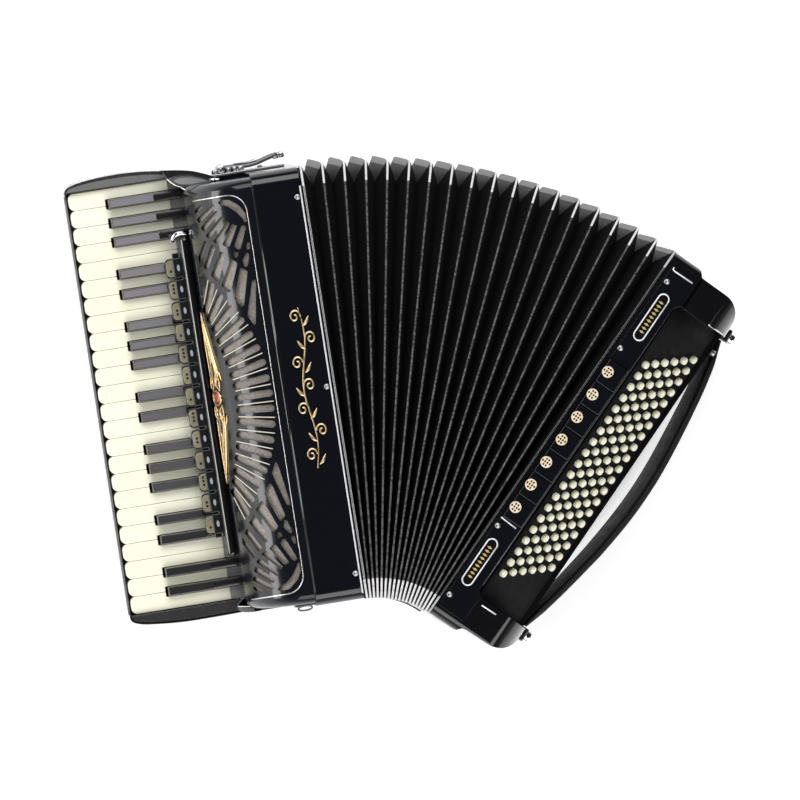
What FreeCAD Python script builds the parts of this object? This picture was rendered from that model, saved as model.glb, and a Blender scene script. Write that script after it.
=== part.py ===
import FreeCAD, Part
import math
import os
import Sketcher

# Piano accordion lying on its back: +Z to the front, +X from the keyboard to
# the bass side, +Y to the chin end. Millimetres. The treble side is fixed, the
# seventeen bellows folds and the bass side fan out about the bellows' foot.

V = FreeCAD.Vector
doc = FreeCAD.newDocument("accordion")
sheet = doc.addObject("Spreadsheet::Sheet", "dims")
NODES = []
rows = [0]


class Size:
    """A length or angle: its value, and the text that binds it to the sheet."""

    def __init__(self, value, text=None):
        self.value = float(value)
        self.text = text or repr(float(value))

    def join(self, sign, other, value):
        return Size(value, "(%s %s %s)" % (self.text, sign, other.text))

    def __add__(self, other):
        other = size(other)
        return self.join("+", other, self.value + other.value)

    def __sub__(self, other):
        other = size(other)
        return self.join("-", other, self.value - other.value)

    def __mul__(self, other):
        other = size(other)
        return self.join("*", other, self.value * other.value)

    def __truediv__(self, other):
        other = size(other)
        return self.join("/", other, self.value / other.value)

    def __radd__(self, other):
        return size(other) + self

    def __rsub__(self, other):
        return size(other) - self

    def __rmul__(self, other):
        return size(other) * self

    def __neg__(self):
        return size(0) - self


def size(value):
    return value if isinstance(value, Size) else Size(value)


def sine(angle):
    return Size(math.sin(math.radians(angle.value)), "sin(%s * 1 deg)" % angle.text)


def cosine(angle):
    return Size(math.cos(math.radians(angle.value)), "cos(%s * 1 deg)" % angle.text)


def dim(alias, value):
    """Puts a driving dimension, or one worked out from others, in the sheet."""
    rows[0] += 1
    sheet.set("A%d" % rows[0], alias)
    cell = "B%d" % rows[0]
    given = isinstance(value, Size)
    sheet.set(cell, "=" + value.text.replace("dims.", "") if given else repr(value))
    sheet.setAlias(cell, alias)
    return Size(value.value if given else value, "dims." + alias)


def bind(thing, prop, value):
    value = size(value)
    if "dims." in value.text:
        thing.setExpression(prop, value.text)
    else:
        setattr(thing, prop, value.value)


# ---------------------------------------------------------------- dimensions
# treble casing: origin at the centre of its back face
case_x = dim("case_half_width", 59.0)
case_y = dim("case_half_length", 245.0)
case_z = dim("case_depth", 200.0)
wall = dim("case_wall", 6.0)
end_r = dim("case_end_radius", 18.0)
grille_x = dim("grille_edge_x", 4.0)
grille_seat = dim("grille_seat_z", 102.0)

# keyboard
pitch = dim("key_pitch", 20.0)
gap = dim("key_gap", 0.8)
keys_top = dim("keys_top_y", 250.0)
key_front = dim("key_front_x", -192.0)
key_end = dim("key_tail_x", -64.0)
key_low = dim("key_underside_z", 42.0)
key_high = dim("key_top_z", 60.0)
sharp_front = dim("sharp_front_x", -150.0)
sharp_w = dim("sharp_width", 10.0)
sharp_high = dim("sharp_top_z", 70.0)
axle_x = dim("key_axle_x", -72.0)
axle_z = dim("key_axle_z", 52.0)
axle_r = dim("key_axle_radius", 1.5)
running = dim("running_clearance", 0.05)
bed_x = dim("bed_rim_x", -197.0)
bed_low = dim("bed_underside_z", 12.0)
bed_high = dim("bed_top_z", 33.0)
cheek_high = dim("cheek_top_z", 66.0)
cheek = dim("cheek_thickness", 17.0)

# register switches and guard bar
switch_n = 13
switch_pitch = dim("switch_pitch", 24.3)
switch_y = dim("switch_row_centre_y", 4.0)
rail_low = dim("rail_underside_z", 63.0)
rail_high = dim("rail_top_z", 73.0)
bar_x = dim("guard_bar_x", -73.0)
bar_z = dim("guard_bar_z", 96.0)
bar_r = dim("guard_bar_radius", 5.75)

# bellows
folds = 17
fold_turn = dim("fold_angle_deg", 2.404)
fold_pitch = dim("fold_pitch_at_foot", 4.0)
fold_t = dim("fold_frame_thickness", 3.4)
fold_low = dim("fold_low_z", 1.0)
fold_high = dim("fold_high_z", 199.0)
band = dim("fold_band_depth", 28.0)
frame_x = dim("treble_frame_x", 61.0)
fold_y = dim("fold_half_length", 246.0)

# bass side, measured outward from its bellows frame
bass_w = dim("bass_casing_width", 104.0)
bass_low = dim("bass_underside_z", 8.0)
bass_r = dim("bass_corner_radius", 32.0)
deck = dim("bass_front_deck_width", 33.0)
slope_in = dim("board_slope_top_z", 192.0)
slope_out = dim("board_slope_foot_z", 108.0)
slope_x = dim("board_slope_foot_x", 98.0)
recess_top = dim("board_recess_top_y", 198.0)
recess_low = dim("board_recess_low_y", -200.0)
button_r = dim("bass_button_radius", 4.5)
button_pitch = dim("bass_button_pitch", 14.9)
row_pitch = dim("bass_row_pitch", 15.7)
stagger = dim("bass_row_stagger", 7.43)
bass_switch_pitch = dim("bass_switch_pitch", 30.6)


# ------------------------------------------------------------------- helpers
def body(name):
    made = doc.addObject("PartDesign::Body", name)
    made.Label = name
    made.AllowCompound = True
    NODES.append(made)
    return made


def sketch(owner, plane, level, loops):
    """Closed loops on an origin plane of the body, moved along its normal."""
    made = owner.newObject("Sketcher::SketchObject", owner.Name + "_sketch")
    origin = [f for f in owner.Origin.OriginFeatures if f.Role == plane]
    made.AttachmentSupport = (origin[0], [""])
    made.MapMode = "FlatFace"
    bind_level(made, level)
    for loop in loops:
        if isinstance(loop[0], tuple):
            draw_loop(made, loop)
        else:
            draw_circle(made, *loop)
    return made


def bind_level(made, level):
    level = size(level)
    made.AttachmentOffset = FreeCAD.Placement(V(0, 0, level.value), FreeCAD.Rotation())
    if "dims." in level.text:
        made.setExpression("AttachmentOffset.Base.z", level.text)


def draw_circle(made, a, b, radius):
    a, b, radius = size(a), size(b), size(radius)
    circle = Part.Circle(V(a.value, b.value, 0), V(0, 0, 1), radius.value)
    n = made.addGeometry(circle, False)
    pin_point(made, n, 3, a, b)
    c = made.addConstraint(Sketcher.Constraint("Radius", n, radius.value))
    if "dims." in radius.text:
        made.setExpression("Constraints[%d]" % c, radius.text)


def pin_point(made, n, end, a, b):
    for kind, value in (("DistanceX", a), ("DistanceY", b)):
        if abs(value.value) < 1e-9:
            value = Size(0.0)
        c = made.addConstraint(Sketcher.Constraint(kind, -1, 1, n, end, value.value))
        if "dims." in value.text:
            made.setExpression("Constraints[%d]" % c, value.text)


def draw_loop(made, points):
    """Straight edges between the points; a point with a third entry is the
    middle of an arc between its neighbours."""
    points = [(size(p[0]), size(p[1])) + tuple(p[2:]) for p in points]
    count = len(points)
    edges = []
    i = 0
    while i < count:
        a, b = points[i], points[(i + 1) % count]
        start = V(a[0].value, a[1].value, 0)
        after = V(b[0].value, b[1].value, 0)
        if len(b) > 2:
            c = points[(i + 2) % count]
            arc = Part.Arc(start, after, V(c[0].value, c[1].value, 0))
            edges.append((arc, a, c))
            i += 2
        else:
            edges.append((Part.LineSegment(start, after), a, b))
            i += 1
    ids = []
    for shape, a, b in edges:
        n = made.addGeometry(shape, False)
        ids.append((n, shape, a, b))
    for n, shape, a, b in ids:
        if isinstance(shape, Part.LineSegment):
            pin_point(made, n, 1, a[0], a[1])
            pin_point(made, n, 2, b[0], b[1])


def pad(owner, plane, loops, low, high):
    """Solid between two levels along the plane's world axis."""
    low, high = size(low), size(high)
    level = -high if plane == "XZ_Plane" else low
    made = owner.newObject("PartDesign::Pad", owner.Name + "_pad")
    profile = sketch(owner, plane, level, loops)
    made.Profile = profile
    bind(made, "Length", high - low)
    return made


def pocket(owner, plane, loops, low, high):
    """Removes what lies between two levels along the plane's world axis."""
    low, high = size(low), size(high)
    level = -low if plane == "XZ_Plane" else high
    made = owner.newObject("PartDesign::Pocket", owner.Name + "_pocket")
    profile = sketch(owner, plane, level, loops)
    made.Profile = profile
    bind(made, "Length", high - low)
    return made


def rect(a0, b0, a1, b1):
    return [(a0, b0), (a1, b0), (a1, b1), (a0, b1)]


def slot(a0, b0, a1, b1):
    """A long hole with round ends, along the first axis."""
    half = (size(b1) - b0) / 2
    mid = (size(b1) + b0) / 2
    return [
        (a0 + half, b0), (a1 - half, b0), (a1, mid, "arc"),
        (a1 - half, b1), (a0 + half, b1), (a0, mid, "arc"),
    ]


def fold_place(step):
    """Where a fold stands in the fan, as cells of the sheet."""
    return fan_x[step], fan_y[step], -(fold_turn * step)


def put(owner, place):
    x, y, turn = place
    spin = FreeCAD.Rotation(V(0, 0, 1), turn.value)
    owner.Placement = FreeCAD.Placement(V(x.value, y.value, 0), spin)
    owner.setExpression("Placement.Base.x", x.text)
    owner.setExpression("Placement.Base.y", y.text)
    owner.setExpression("Placement.Rotation.Angle", turn.text + " * 1 deg")


# The fan: each fold turns about the foot edge it shares with the one before.
fan_x, fan_y = [], []
foot_x, foot_y = frame_x, -fold_y
for step in range(folds + 2):
    turn = fold_turn * step
    if step:
        before = fold_turn * (step - 1)
        half = fold_pitch / 2
        foot_x = dim("foot_x_%d" % step, foot_x + half * (cosine(before) + cosine(turn)))
        foot_y = dim("foot_y_%d" % step, foot_y - half * (sine(before) + sine(turn)))
    fan_x.append(dim("fan_x_%d" % step, foot_x + fold_y * sine(turn)))
    fan_y.append(dim("fan_y_%d" % step, foot_y + fold_y * cosine(turn)))
BASS = fold_place(folds + 1)

# ------------------------------------------------------------- treble casing
s = 1 - math.sqrt(0.5)
casing = body("treble_casing")
end_outline = [
    (-case_y, 0), (case_y, 0), (case_y, case_z - end_r),
    (case_y - s * end_r, case_z - s * end_r, "arc"),
    (case_y - end_r, case_z), (end_r - case_y, case_z),
    (s * end_r - case_y, case_z - s * end_r, "arc"),
    (-case_y, case_z - end_r),
]
pad(casing, "YZ_Plane", [end_outline], -case_x, case_x)
pocket(casing, "XZ_Plane", [rect(-case_x - 1, grille_seat, grille_x, case_z + 1)],
       -case_y - 1, case_y + 1)
inside = [
    (wall - case_x, wall), (case_x + 1, wall), (case_x + 1, case_z - wall),
    (grille_x - 2, case_z - wall), (grille_x - 2, 109), (-case_x - 1, 109),
    (-case_x - 1, 38), (wall - case_x, 38),
]
pocket(casing, "XZ_Plane", [inside], wall - case_y, case_y - wall)

# Grille cover: a curved shell over the pallets, pierced by a fan of slots.
SLOTS = [
    (-52, -9, 14, 17.5), (-53, -11, 27, 35), (-55, -15, 41, 52), (-57, -21, 55, 68),
    (-57, -28, 69, 85), (-57, -38, 87, 101),
]
PANELS = [
    [(-17.5, 78), (-23.5, 90), (-11.5, 128), (-8, 126)],
    [(-27.5, 101), (-35, 111), (-22.5, 143), (-15.5, 139)],
    [(-39, 119), (-47.5, 127), (-31.5, 155), (-25.5, 150)],
    [(-50.5, 134), (-56, 140), (-42.5, 165), (-37.5, 162)],
    [(-17.5, 144), (-20, 151), (-13, 159), (-10.5, 158)],
    [(-21.5, 164), (-26.5, 168.5), (-13, 190), (-9.5, 189)],
    [(-33, 169), (-39, 172.5), (-24, 193), (-19.5, 191)],
    [(-44, 175), (-49, 178), (-29.5, 197), (-27, 195)],
    [(-52, 183), (-56, 186), (-35.5, 204), (-33, 201)],
]
cover = body("treble_grille")
shell = [
    (grille_x - 0.4, 103), (grille_x - 0.4, 199.5), (-23.6, 192.6, "arc"),
    (-46.9, 171.6), (-62.5, 140.1, "arc"), (-68, 103),
]
pad(cover, "XZ_Plane", [shell], -case_y, case_y)
hollow = [
    (grille_x + 1, 102), (grille_x + 1, 196.2), (grille_x - 3.6, 196.2), (-24, 189.2, "arc"),
    (-45, 169.2), (-59.6, 138.8, "arc"), (-64.8, 102),
]
pocket(cover, "XZ_Plane", [hollow], wall - case_y, case_y - wall)
for side in (1, -1):
    corner = [
        (side * (case_y + 1), case_z - end_r - 1), (side * (case_y + 1), case_z + 1),
        (side * (case_y - end_r - 1), case_z + 1), (side * (case_y - end_r - 1), 199.4),
        (side * (case_y - s * end_r), case_z - s * end_r, "arc"),
        (side * case_y, case_z - end_r - 1),
    ]
    pocket(cover, "YZ_Plane", [corner], -69, 5)
slots = [slot(-52, -4, -8, 4)]
for side in (1, -1):
    for a, b, low, high in SLOTS:
        slots.append([
            (a, side * (low - 3.6)), (b, side * (high - 4)),
            (b, side * (high + 4)), (a, side * (low + 3.6)),
        ])
    for panel in PANELS:
        slots.append([(x, side * y) for x, y in panel])
pocket(cover, "XY_Plane", slots, 150, 201)

mesh = body("grille_mesh")
cloth = [
    (0, 195.4), (-24, 188.4, "arc"), (-44.5, 168.7), (-59, 138.5, "arc"), (-64.1, 106),
    (-63.1, 106), (-58.1, 138.2, "arc"), (-43.8, 168), (-23.7, 187.4, "arc"), (0, 194.4),
]
pad(mesh, "XZ_Plane", [cloth], wall + 1 - case_y, case_y - wall - 1)

ornament = body("grille_ornament")
leaf = [
    (-68.2, 106), (-66.6, 124, "arc"), (-62.4, 142), (-63.8, 142.6), (-68.0, 124.4, "arc"),
    (-69.6, 106),
]
pad(ornament, "XZ_Plane", [leaf], -90, 90)

# Front ornament: a thin gilt flourish of three leaves, no letters.
flourish = body("front_flourish")
leaves = []
for n in range(5):
    y = 34 * (n - 2)
    leaves.append([(30, y - 15), (38, y, "arc"), (30, y + 15), (25, y, "arc")])
pad(flourish, "XY_Plane", leaves, case_z + 0.02, case_z + 0.5)

trim = body("treble_trim")
strips = [
    rect(case_x - 3, 8 - case_y, case_x - 1, case_y - 24),
]
pad(trim, "XY_Plane", strips, case_z + 0.02, case_z + 0.9)
pad(trim, "XY_Plane", [rect(-6, 28 - case_y, -4.8, case_y - 28)], 199, 199.5)

screws = body("treble_screws")
spots = []
for y in (212, -3, -215):
    spots.append([52.8, y, 2.6])
pad(screws, "XY_Plane", spots, case_z + 0.02, case_z + 1.2)

# Soundboard with the reed blocks on its bellows side.
board = body("treble_soundboard")
pad(board, "XY_Plane", [rect(8, wall + 0.2 - case_y, 13, case_y - wall - 0.2)], 6.2, 193.8)
holes = []
for n in range(24):
    y = 240 - pitch * n
    holes.append(rect(y - 5, 110, y + 5, 138))
pocket(board, "YZ_Plane", holes, 7, 14)

blocks = body("treble_reed_blocks")
loops = []
for z in (20, 62, 104, 146):
    loops.append(rect(-225, z, 225, z + 26))
pad(blocks, "YZ_Plane", loops, 13.2, 56)

# ------------------------------------------------------------------ keyboard
frame = body("keyboard_frame")
top_y = keys_top + 0.6
low_y = keys_top - 24 * pitch - 0.6
pad(frame, "XY_Plane", [rect(bed_x, low_y, -case_x - 0.5, top_y)], bed_low, bed_high)
pad(frame, "XY_Plane", [rect(bed_x, low_y, bed_x + 3.6, top_y)], bed_high, 50)
top_cheek = [
    (bed_x, top_y), (-20, top_y), (-58, top_y + 9, "arc"), (-118, top_y + cheek),
    (-158, top_y + cheek - 1, "arc"), (bed_x + 6, top_y + 9),
    (bed_x + 1.5, top_y + 5, "arc"), (bed_x, top_y + 1),
]
low_cheek = [
    (bed_x, low_y), (bed_x, low_y - 2), (bed_x + 2, low_y - 6, "arc"), (bed_x + 6, low_y - 8),
    (-140, low_y - 15, "arc"), (-case_x - 0.5, low_y - 16), (-case_x - 0.5, low_y),
]
pad(frame, "XY_Plane", [top_cheek], bed_low, cheek_high)
pad(frame, "XY_Plane", [low_cheek], bed_low, cheek_high)
eye = [(-78, top_y + 6.5), (-55, top_y + 7, "arc"), (-34, top_y + 1.2), (-60, top_y + 1.6, "arc")]
pocket(frame, "XY_Plane", [eye], 58, 67)
pocket(frame, "XY_Plane", [rect(bed_x + 8, low_y + 8, -case_x - 8.5, top_y - 8)], 11, 27)
pocket(frame, "XZ_Plane", [[axle_x, axle_z, axle_r + 0.02]], low_y - 12, top_y + 12)

axle = body("key_axle")
pad(axle, "XZ_Plane", [[axle_x, axle_z, axle_r]], low_y - 11.5, top_y - 0 + 1.6)

ORDER = "FGABCDE"
whites = {}
sharps = []
for n in range(24):
    note = ORDER[n % 7]
    whites.setdefault(note, []).append(n)
    if note in "FGACD" and n < 23:
        sharps.append(n)
SHIFT = {"F": 1.8, "G": 0.0, "A": -1.8, "C": 1.4, "D": -1.4}


def sharp_centre(n):
    return keys_top - pitch * (n + 1) + SHIFT[ORDER[n % 7]]


def white_outline(n):
    """Plan of one white key: full width at the front, a tail between sharps."""
    high = keys_top - pitch * n - gap / 2
    low = keys_top - pitch * (n + 1) + gap / 2
    note = ORDER[n % 7]
    before = ORDER[(n - 1) % 7]
    neck = sharp_front - 2
    room = sharp_w / 2 + 0.6
    points = [(key_front, low + 3), (key_front + 3, low)]
    if note in "FGACD" and n < 23:
        edge = sharp_centre(n) + room
        points += [(neck, low), (neck, edge), (key_end, edge)]
    else:
        points += [(key_end, low)]
    if n and before in "FGACD":
        edge = sharp_centre(n - 1) - room
        points += [(key_end, edge), (neck, edge), (neck, high)]
    else:
        points += [(key_end, high)]
    return points + [(key_front + 3, high), (key_front, high - 3)]


def key_levers(owner, centres, width, foot, head):
    """Lever and pallet behind each key, up to the soundboard; inside the end wall."""
    arms, posts, pallets = [], [], []
    for y in centres:
        seat = y
        start = key_end - 1.3
        if y.value > 237.2:
            arms.append(rect(start, 238, key_end + 3, y + 2))
            start = key_end + 1.5
            y = size(237.2)
            seat = y - 2.7
        arms.append(rect(start, y - 1.2, 0, y + 1.2))
        posts.append(rect(-3, y - 1.2, 0, y + 1.2))
        pallets.append(rect(-0.5, seat - width / 2, 3.5, seat + width / 2))
    pad(owner, "XY_Plane", arms, 47, 51)
    pad(owner, "XY_Plane", posts, 50, head - 4)
    pad(owner, "XY_Plane", pallets, foot, head)


for note in ORDER:
    key = body("white_keys_" + note.lower())
    outlines = [white_outline(n) for n in whites[note]]
    pad(key, "XY_Plane", outlines, key_low, key_high)
    middles = []
    for n in whites[note]:
        tail = [p for p in white_outline(n) if p[0].value == key_end.value]
        middles.append((tail[0][1] + tail[-1][1]) / 2)
    key_levers(key, middles, 9.0, 108, 140)
    pocket(key, "XZ_Plane", [[axle_x, axle_z, axle_r + running]],
           keys_top - 24 * pitch - 1, keys_top + 1)

key = body("black_keys")
lower, upper = [], []
for n in sharps:
    y = sharp_centre(n)
    half = sharp_w / 2
    lower.append(rect(sharp_front, y - half, key_end - 0.8, y + half))
    upper.append(rect(sharp_front + 5, y - half + 0.8, -96, y + half - 0.8))
pad(key, "XY_Plane", lower, key_low + 2, key_high + 1)
pad(key, "XY_Plane", upper, key_high + 1, sharp_high)
key_levers(key, [sharp_centre(n) for n in sharps], 8.0, 62, 92)
pocket(key, "XZ_Plane", [[axle_x, axle_z, axle_r + running]],
       keys_top - 24 * pitch - 1, keys_top + 1)

# ------------------------------------------------- switches and guard bar
rail = body("switch_rail")
rail_out = [(-94, rail_low), (-60.5, rail_low), (-60.5, 74), (-66, 78), (-80, 78),
            (-80, rail_high), (-94, rail_high)]
pad(rail, "XZ_Plane", [rail_out], -228, top_y - 2)
lugs = []
for n in range(switch_n + 1):
    y = switch_y + switch_pitch * (n - switch_n / 2)
    lugs.append(rect(-92, y - 0.9, -84, y + 0.9))
pad(rail, "XY_Plane", lugs, rail_high - 1, rail_high + 6)
rod_x, rod_z = -88, 76.5
rod_reach = switch_pitch * (switch_n / 2)
pad(rail, "XZ_Plane", [[rod_x, rod_z, 1.0]], switch_y - rod_reach, switch_y + rod_reach)

switches = body("treble_switches")
caps = []
for n in range(switch_n):
    y = switch_y + switch_pitch * (n - (switch_n - 1) / 2)
    caps.append(rect(-98, y - 10.4, -78.5, y + 10.4))
pad(switches, "XY_Plane", caps, 80, 86)
feet = []
for n in range(switch_n):
    y = switch_y + switch_pitch * (n - (switch_n - 1) / 2)
    feet.append(rect(-91.5, y - 10.4, -84.5, y + 10.4))
pad(switches, "XY_Plane", feet, 74.2, 81)
pocket(switches, "XZ_Plane", [[rod_x, rod_z, 1.05]], -175, 185)

bar = body("guard_bar")
pad(bar, "XZ_Plane", [[bar_x, bar_z, bar_r]], -178, 182)
posts = []
for y in (-170, -60, 60, 174):
    posts.append([bar_x, y, 2.5])
pad(bar, "XY_Plane", posts, 78.1, 92)

pad(bar, "YZ_Plane", [[184.5, 94, 3.0]], -86, -68)
pad(bar, "XY_Plane", [[-84.5, 184.5, 2.4]], 73.2, 94)

# ------------------------------------------------ fittings on the chin end
plate = body("strap_bracket")
pad(plate, "XZ_Plane", [rect(-32, 84, 50, 112)], case_y + 0.05, case_y + 3)
pad(plate, "XZ_Plane", [rect(-30, 88, -12, 91), rect(-30, 105, -12, 108)],
    case_y + 2.9, case_y + 12)
pocket(plate, "XY_Plane", [[-21, case_y + 8, 1.85]], 83, 113)

lever = body("strap_lever")
arm = [(-23, case_y + 5.5), (-8, case_y + 5.5), (20, case_y + 8.5, "arc"), (46, case_y + 13),
       (56, case_y + 12), (56, case_y + 18), (44, case_y + 18), (20, case_y + 13, "arc"),
       (-23, case_y + 10.5)]
pad(lever, "XY_Plane", [arm], 91.3, 104.7)
pad(lever, "XY_Plane", [[-21, case_y + 8, 1.8]], 86, 110)

loop = body("low_strap_bracket")
pad(loop, "XZ_Plane", [rect(-14, 84, 10, 112)], -case_y - 2.6, -case_y - 0.05)
pad(loop, "XZ_Plane", [rect(-12, 92, -6, 104)], -case_y - 9, -case_y - 2.5)
pad(loop, "XZ_Plane", [rect(2, 92, 8, 104)], -case_y - 9, -case_y - 2.5)
pad(loop, "YZ_Plane", [[-case_y - 6.5, 98, 1.8]], -12, 8)

# -------------------------------------------------------------------- bellows
def fold_frame(name, place, low, high, half):
    """One frame of the bellows: a thin oblong ring standing on its edge."""
    made = body(name)
    put(made, place)
    outer = rect(-half, low, half, high)
    pad(made, "YZ_Plane", [outer], -fold_t / 2, fold_t / 2)
    inner = rect(band - half, low + band, half - band, high - band)
    pocket(made, "YZ_Plane", [inner], -fold_t / 2 - 1, fold_t / 2 + 1)
    return made


fold_frame("treble_bellows_frame", fold_place(0), fold_low, fold_high, fold_y)
for step in range(1, folds + 1):
    fold_frame("fold_%02d" % step, fold_place(step), fold_low, fold_high, fold_y)
fold_frame("bass_bellows_frame", BASS, fold_low, fold_high, fold_y)

# Pleated skin between the frames, drawn as thin webs at mid-bay.
skin = body("bellows_skin")
webs = []
for step in range(folds + 1):
    turn = fold_turn * (step + 0.5)
    mid_x = (fan_x[step] + fan_x[step + 1]) / 2
    mid_y = (fan_y[step] + fan_y[step + 1]) / 2
    web = []
    for a, b in ((-0.15, 222), (0.15, 222), (0.15, -206), (-0.15, -206)):
        web.append((mid_x + a * cosine(turn) + b * sine(turn),
                    mid_y - a * sine(turn) + b * cosine(turn)))
    webs.append(web)
pad(skin, "XY_Plane", webs, 26, 174)

# Strap that holds the foot of the bellows shut.
strap = body("bellows_strap")
belt = []
for step in range(folds + 2):
    turn = fold_turn * step
    belt.append((fan_x[step] - (fold_y + 1.2) * sine(turn),
                 fan_y[step] - (fold_y + 1.2) * cosine(turn)))
for step in reversed(range(folds + 2)):
    turn = fold_turn * step
    belt.append((fan_x[step] - (fold_y + 3.2) * sine(turn),
                 fan_y[step] - (fold_y + 3.2) * cosine(turn)))
pad(strap, "XY_Plane", [belt], 86, 114)

# ------------------------------------------------------------------ bass side
bass = body("bass_casing")
put(bass, BASS)
in_x = 2.2
out_x = bass_w + 2
cheek_y = case_y - 4.5
corner = [
    (in_x, -case_y), (deck + 3, -case_y), (deck + 11, -cheek_y), (out_x - bass_r, -cheek_y),
    (out_x - s * bass_r, s * bass_r - cheek_y, "arc"), (out_x, bass_r - cheek_y),
    (out_x, cheek_y - bass_r), (out_x - s * bass_r, cheek_y - s * bass_r, "arc"),
    (out_x - bass_r, cheek_y), (deck + 11, cheek_y), (deck + 3, case_y), (in_x, case_y),
]
pad(bass, "XY_Plane", [corner], bass_low, case_z)
slope = [
    (deck + 1, case_z + 1), (deck + 1, slope_in), (slope_x, slope_out),
    (out_x + 1, slope_out), (out_x + 1, case_z + 1),
]
pocket(bass, "XZ_Plane", [slope], recess_low, recess_top)
for side in (1, -1):
    edge = [
        (side * (case_y + 1), case_z - 13), (side * (case_y + 1), case_z + 1),
        (side * (case_y - 13), case_z + 1), (side * (case_y - 12), case_z - 0.2),
        (side * (case_y - 3.5), case_z - 3.5, "arc"), (side * case_y, case_z - 12),
    ]
    pocket(bass, "YZ_Plane", [edge], 0, 120)
brow = [
    (74, case_z + 1), (74, case_z), (97, case_z - 20, "arc"), (out_x, case_z - 62),
    (out_x + 1, case_z - 62), (out_x + 1, case_z + 1),
]
pocket(bass, "XZ_Plane", [brow], -case_y - 1, case_y + 1)
near = rect(in_x - 1, 16, 30, 193)
pocket(bass, "XZ_Plane", [near], 6.5 - case_y, case_y - 6.5)
far = [(29, 16), (102, 16), (102, 95), (84, 95), (40, 150), (29, 150)]
pocket(bass, "XZ_Plane", [far], 34 - case_y, case_y - 34)

# Button board and its buttons, square to the slope of the bass casing.
lie = math.degrees(math.atan2(
    (slope_in - slope_out).value, (slope_x - deck - 1).value))
LIE = dim("board_slope_deg", lie)
run = dim("board_slope_run", math.hypot(
    (slope_in - slope_out).value, (slope_x - deck - 1).value))


def put_on_slope(owner):
    """Stands a body on the slope: its X down the slope, its Z square to it."""
    turn = BASS[2].value
    spin = FreeCAD.Rotation(V(0, 0, 1), turn)
    tilt = FreeCAD.Rotation(V(0, 1, 0), LIE.value)
    base = spin.multVec(V((deck + 1).value, 0, slope_in.value))
    base = base + V(BASS[0].value, BASS[1].value, 0)
    owner.Placement = FreeCAD.Placement(base, spin.multiply(tilt))


def button_spots(radius):
    """Rows from the deck outward; each lies further toward the chin end."""
    found = []
    for row in range(6):
        line = []
        for column in range(20):
            y = 121.7 - button_pitch * column + stagger * row
            line.append([13.2 + row_pitch * row, y, radius])
        found.append(line)
    return found


def on_slope(u, w):
    """Point of the casing's section, u down the slope and w square to it."""
    return (deck + 1 + u * cosine(LIE) + w * sine(LIE),
            slope_in - u * sine(LIE) + w * cosine(LIE))


# The board's thick middle sits in a seat, so pressed buttons stay clear of the casing.
seat = [on_slope(6, 0.5), on_slope(99.4, 0.5), on_slope(99.4, -4.2), on_slope(6, -4.2)]
pocket(bass, "XZ_Plane", [seat], -170, 167)
table = body("bass_button_board")
put_on_slope(table)
pad(table, "XY_Plane", [rect(0.5, recess_low + 0.4, run - 0.4, recess_top - 0.4)], 0.2, 3.2)
pad(table, "XY_Plane", [rect(6.4, -169.6, 99, 166.6)], -3.9, 0.4)
pocket(table, "XY_Plane", [s for row in button_spots(button_r + 0.35) for s in row], -4.5, 4)

rows_of = button_spots(button_r)
for name, lines in (("bass_note_buttons", rows_of[:2]), ("chord_buttons", rows_of[2:])):
    buttons = body(name)
    put_on_slope(buttons)
    pad(buttons, "XY_Plane", [spot for line in lines for spot in line], 0.2, 8.4)

tiles = body("bass_switches")
put(tiles, BASS)
plates = []
for n in range(7):
    y = case_y - 247.2 + bass_switch_pitch * (3 - n)
    plates.append(rect(5, y - 14, 32, y + 14))
pad(tiles, "XY_Plane", plates, case_z + 3.2, case_z + 6.2)
stems = [rect(13, p[0][1] + 10, 19, p[2][1] - 10) for p in plates]
pad(tiles, "XY_Plane", stems, case_z + 0.1, case_z + 3.3)
slots = [rect(12.6, p[0][1] + 9.6, 19.4, p[2][1] - 9.6) for p in plates]
pocket(bass, "XY_Plane", slots, case_z - 3.6, case_z + 1)

labels = body("nameplates")
put(labels, BASS)
pills = []
for x, y in ((19.5, 169), (15.4, -166)):
    pills.append([(x - 6.4, y - 24), (x, y - 30, "arc"), (x + 6.4, y - 24),
                  (x + 6.4, y + 24), (x, y + 30, "arc"), (x - 6.4, y + 24)])
pad(labels, "XY_Plane", pills, case_z + 0.02, case_z + 1.6)

bass_screws = body("bass_screws")
put(bass_screws, BASS)
spots = []
for x, y in ((11.5, 212), (10.4, 121), (8.9, -121), (7.9, -215)):
    spots.append([x, y, 2.6])
pad(bass_screws, "XY_Plane", spots, case_z + 0.02, case_z + 1.2)

cover = body("bass_back_cover")
put(cover, BASS)
pad(cover, "XY_Plane", [rect(8, 12 - case_y, 100, case_y - 12)], 5, bass_low - 0.05)

spots = []
for x in (18, 92):
    for y in (-case_y + 26, case_y - 26):
        spots.append([x, y, 7])
pad(cover, "XY_Plane", spots, 0, 5.5)

# Inside the bass casing: reed blocks and the piston frame under the buttons.
reeds = body("bass_reed_blocks")
put(reeds, BASS)
loops = []
for z in (40, 92, 144):
    loops.append(rect(-200, z, 200, z + 30))
pad(reeds, "YZ_Plane", loops, 6, 28)

pistons = body("bass_mechanism")
put(pistons, BASS)
loops = []
for z in (30, 46, 62):
    for x in (44, 56, 68, 80):
        loops.append([x, z, 2.0])
pad(pistons, "XZ_Plane", loops, -190, 190)
pad(pistons, "XZ_Plane", [rect(38, 24, 86, 68)], -196, -188)
pad(pistons, "XZ_Plane", [rect(38, 24, 86, 68)], 188, 196)

# Hand strap, its blocks and the two wheels that tighten it.
hand = body("bass_strap")
put(hand, BASS)
band_out = [
    (out_x + 1, 195.7), (out_x + 9, 195.7), (out_x + 32.5, 0, "arc"), (out_x + 9, -195.7),
    (out_x + 1, -195.7), (out_x + 24.5, 0, "arc"),
]
pad(hand, "XY_Plane", [band_out], 20, 98)

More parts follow.
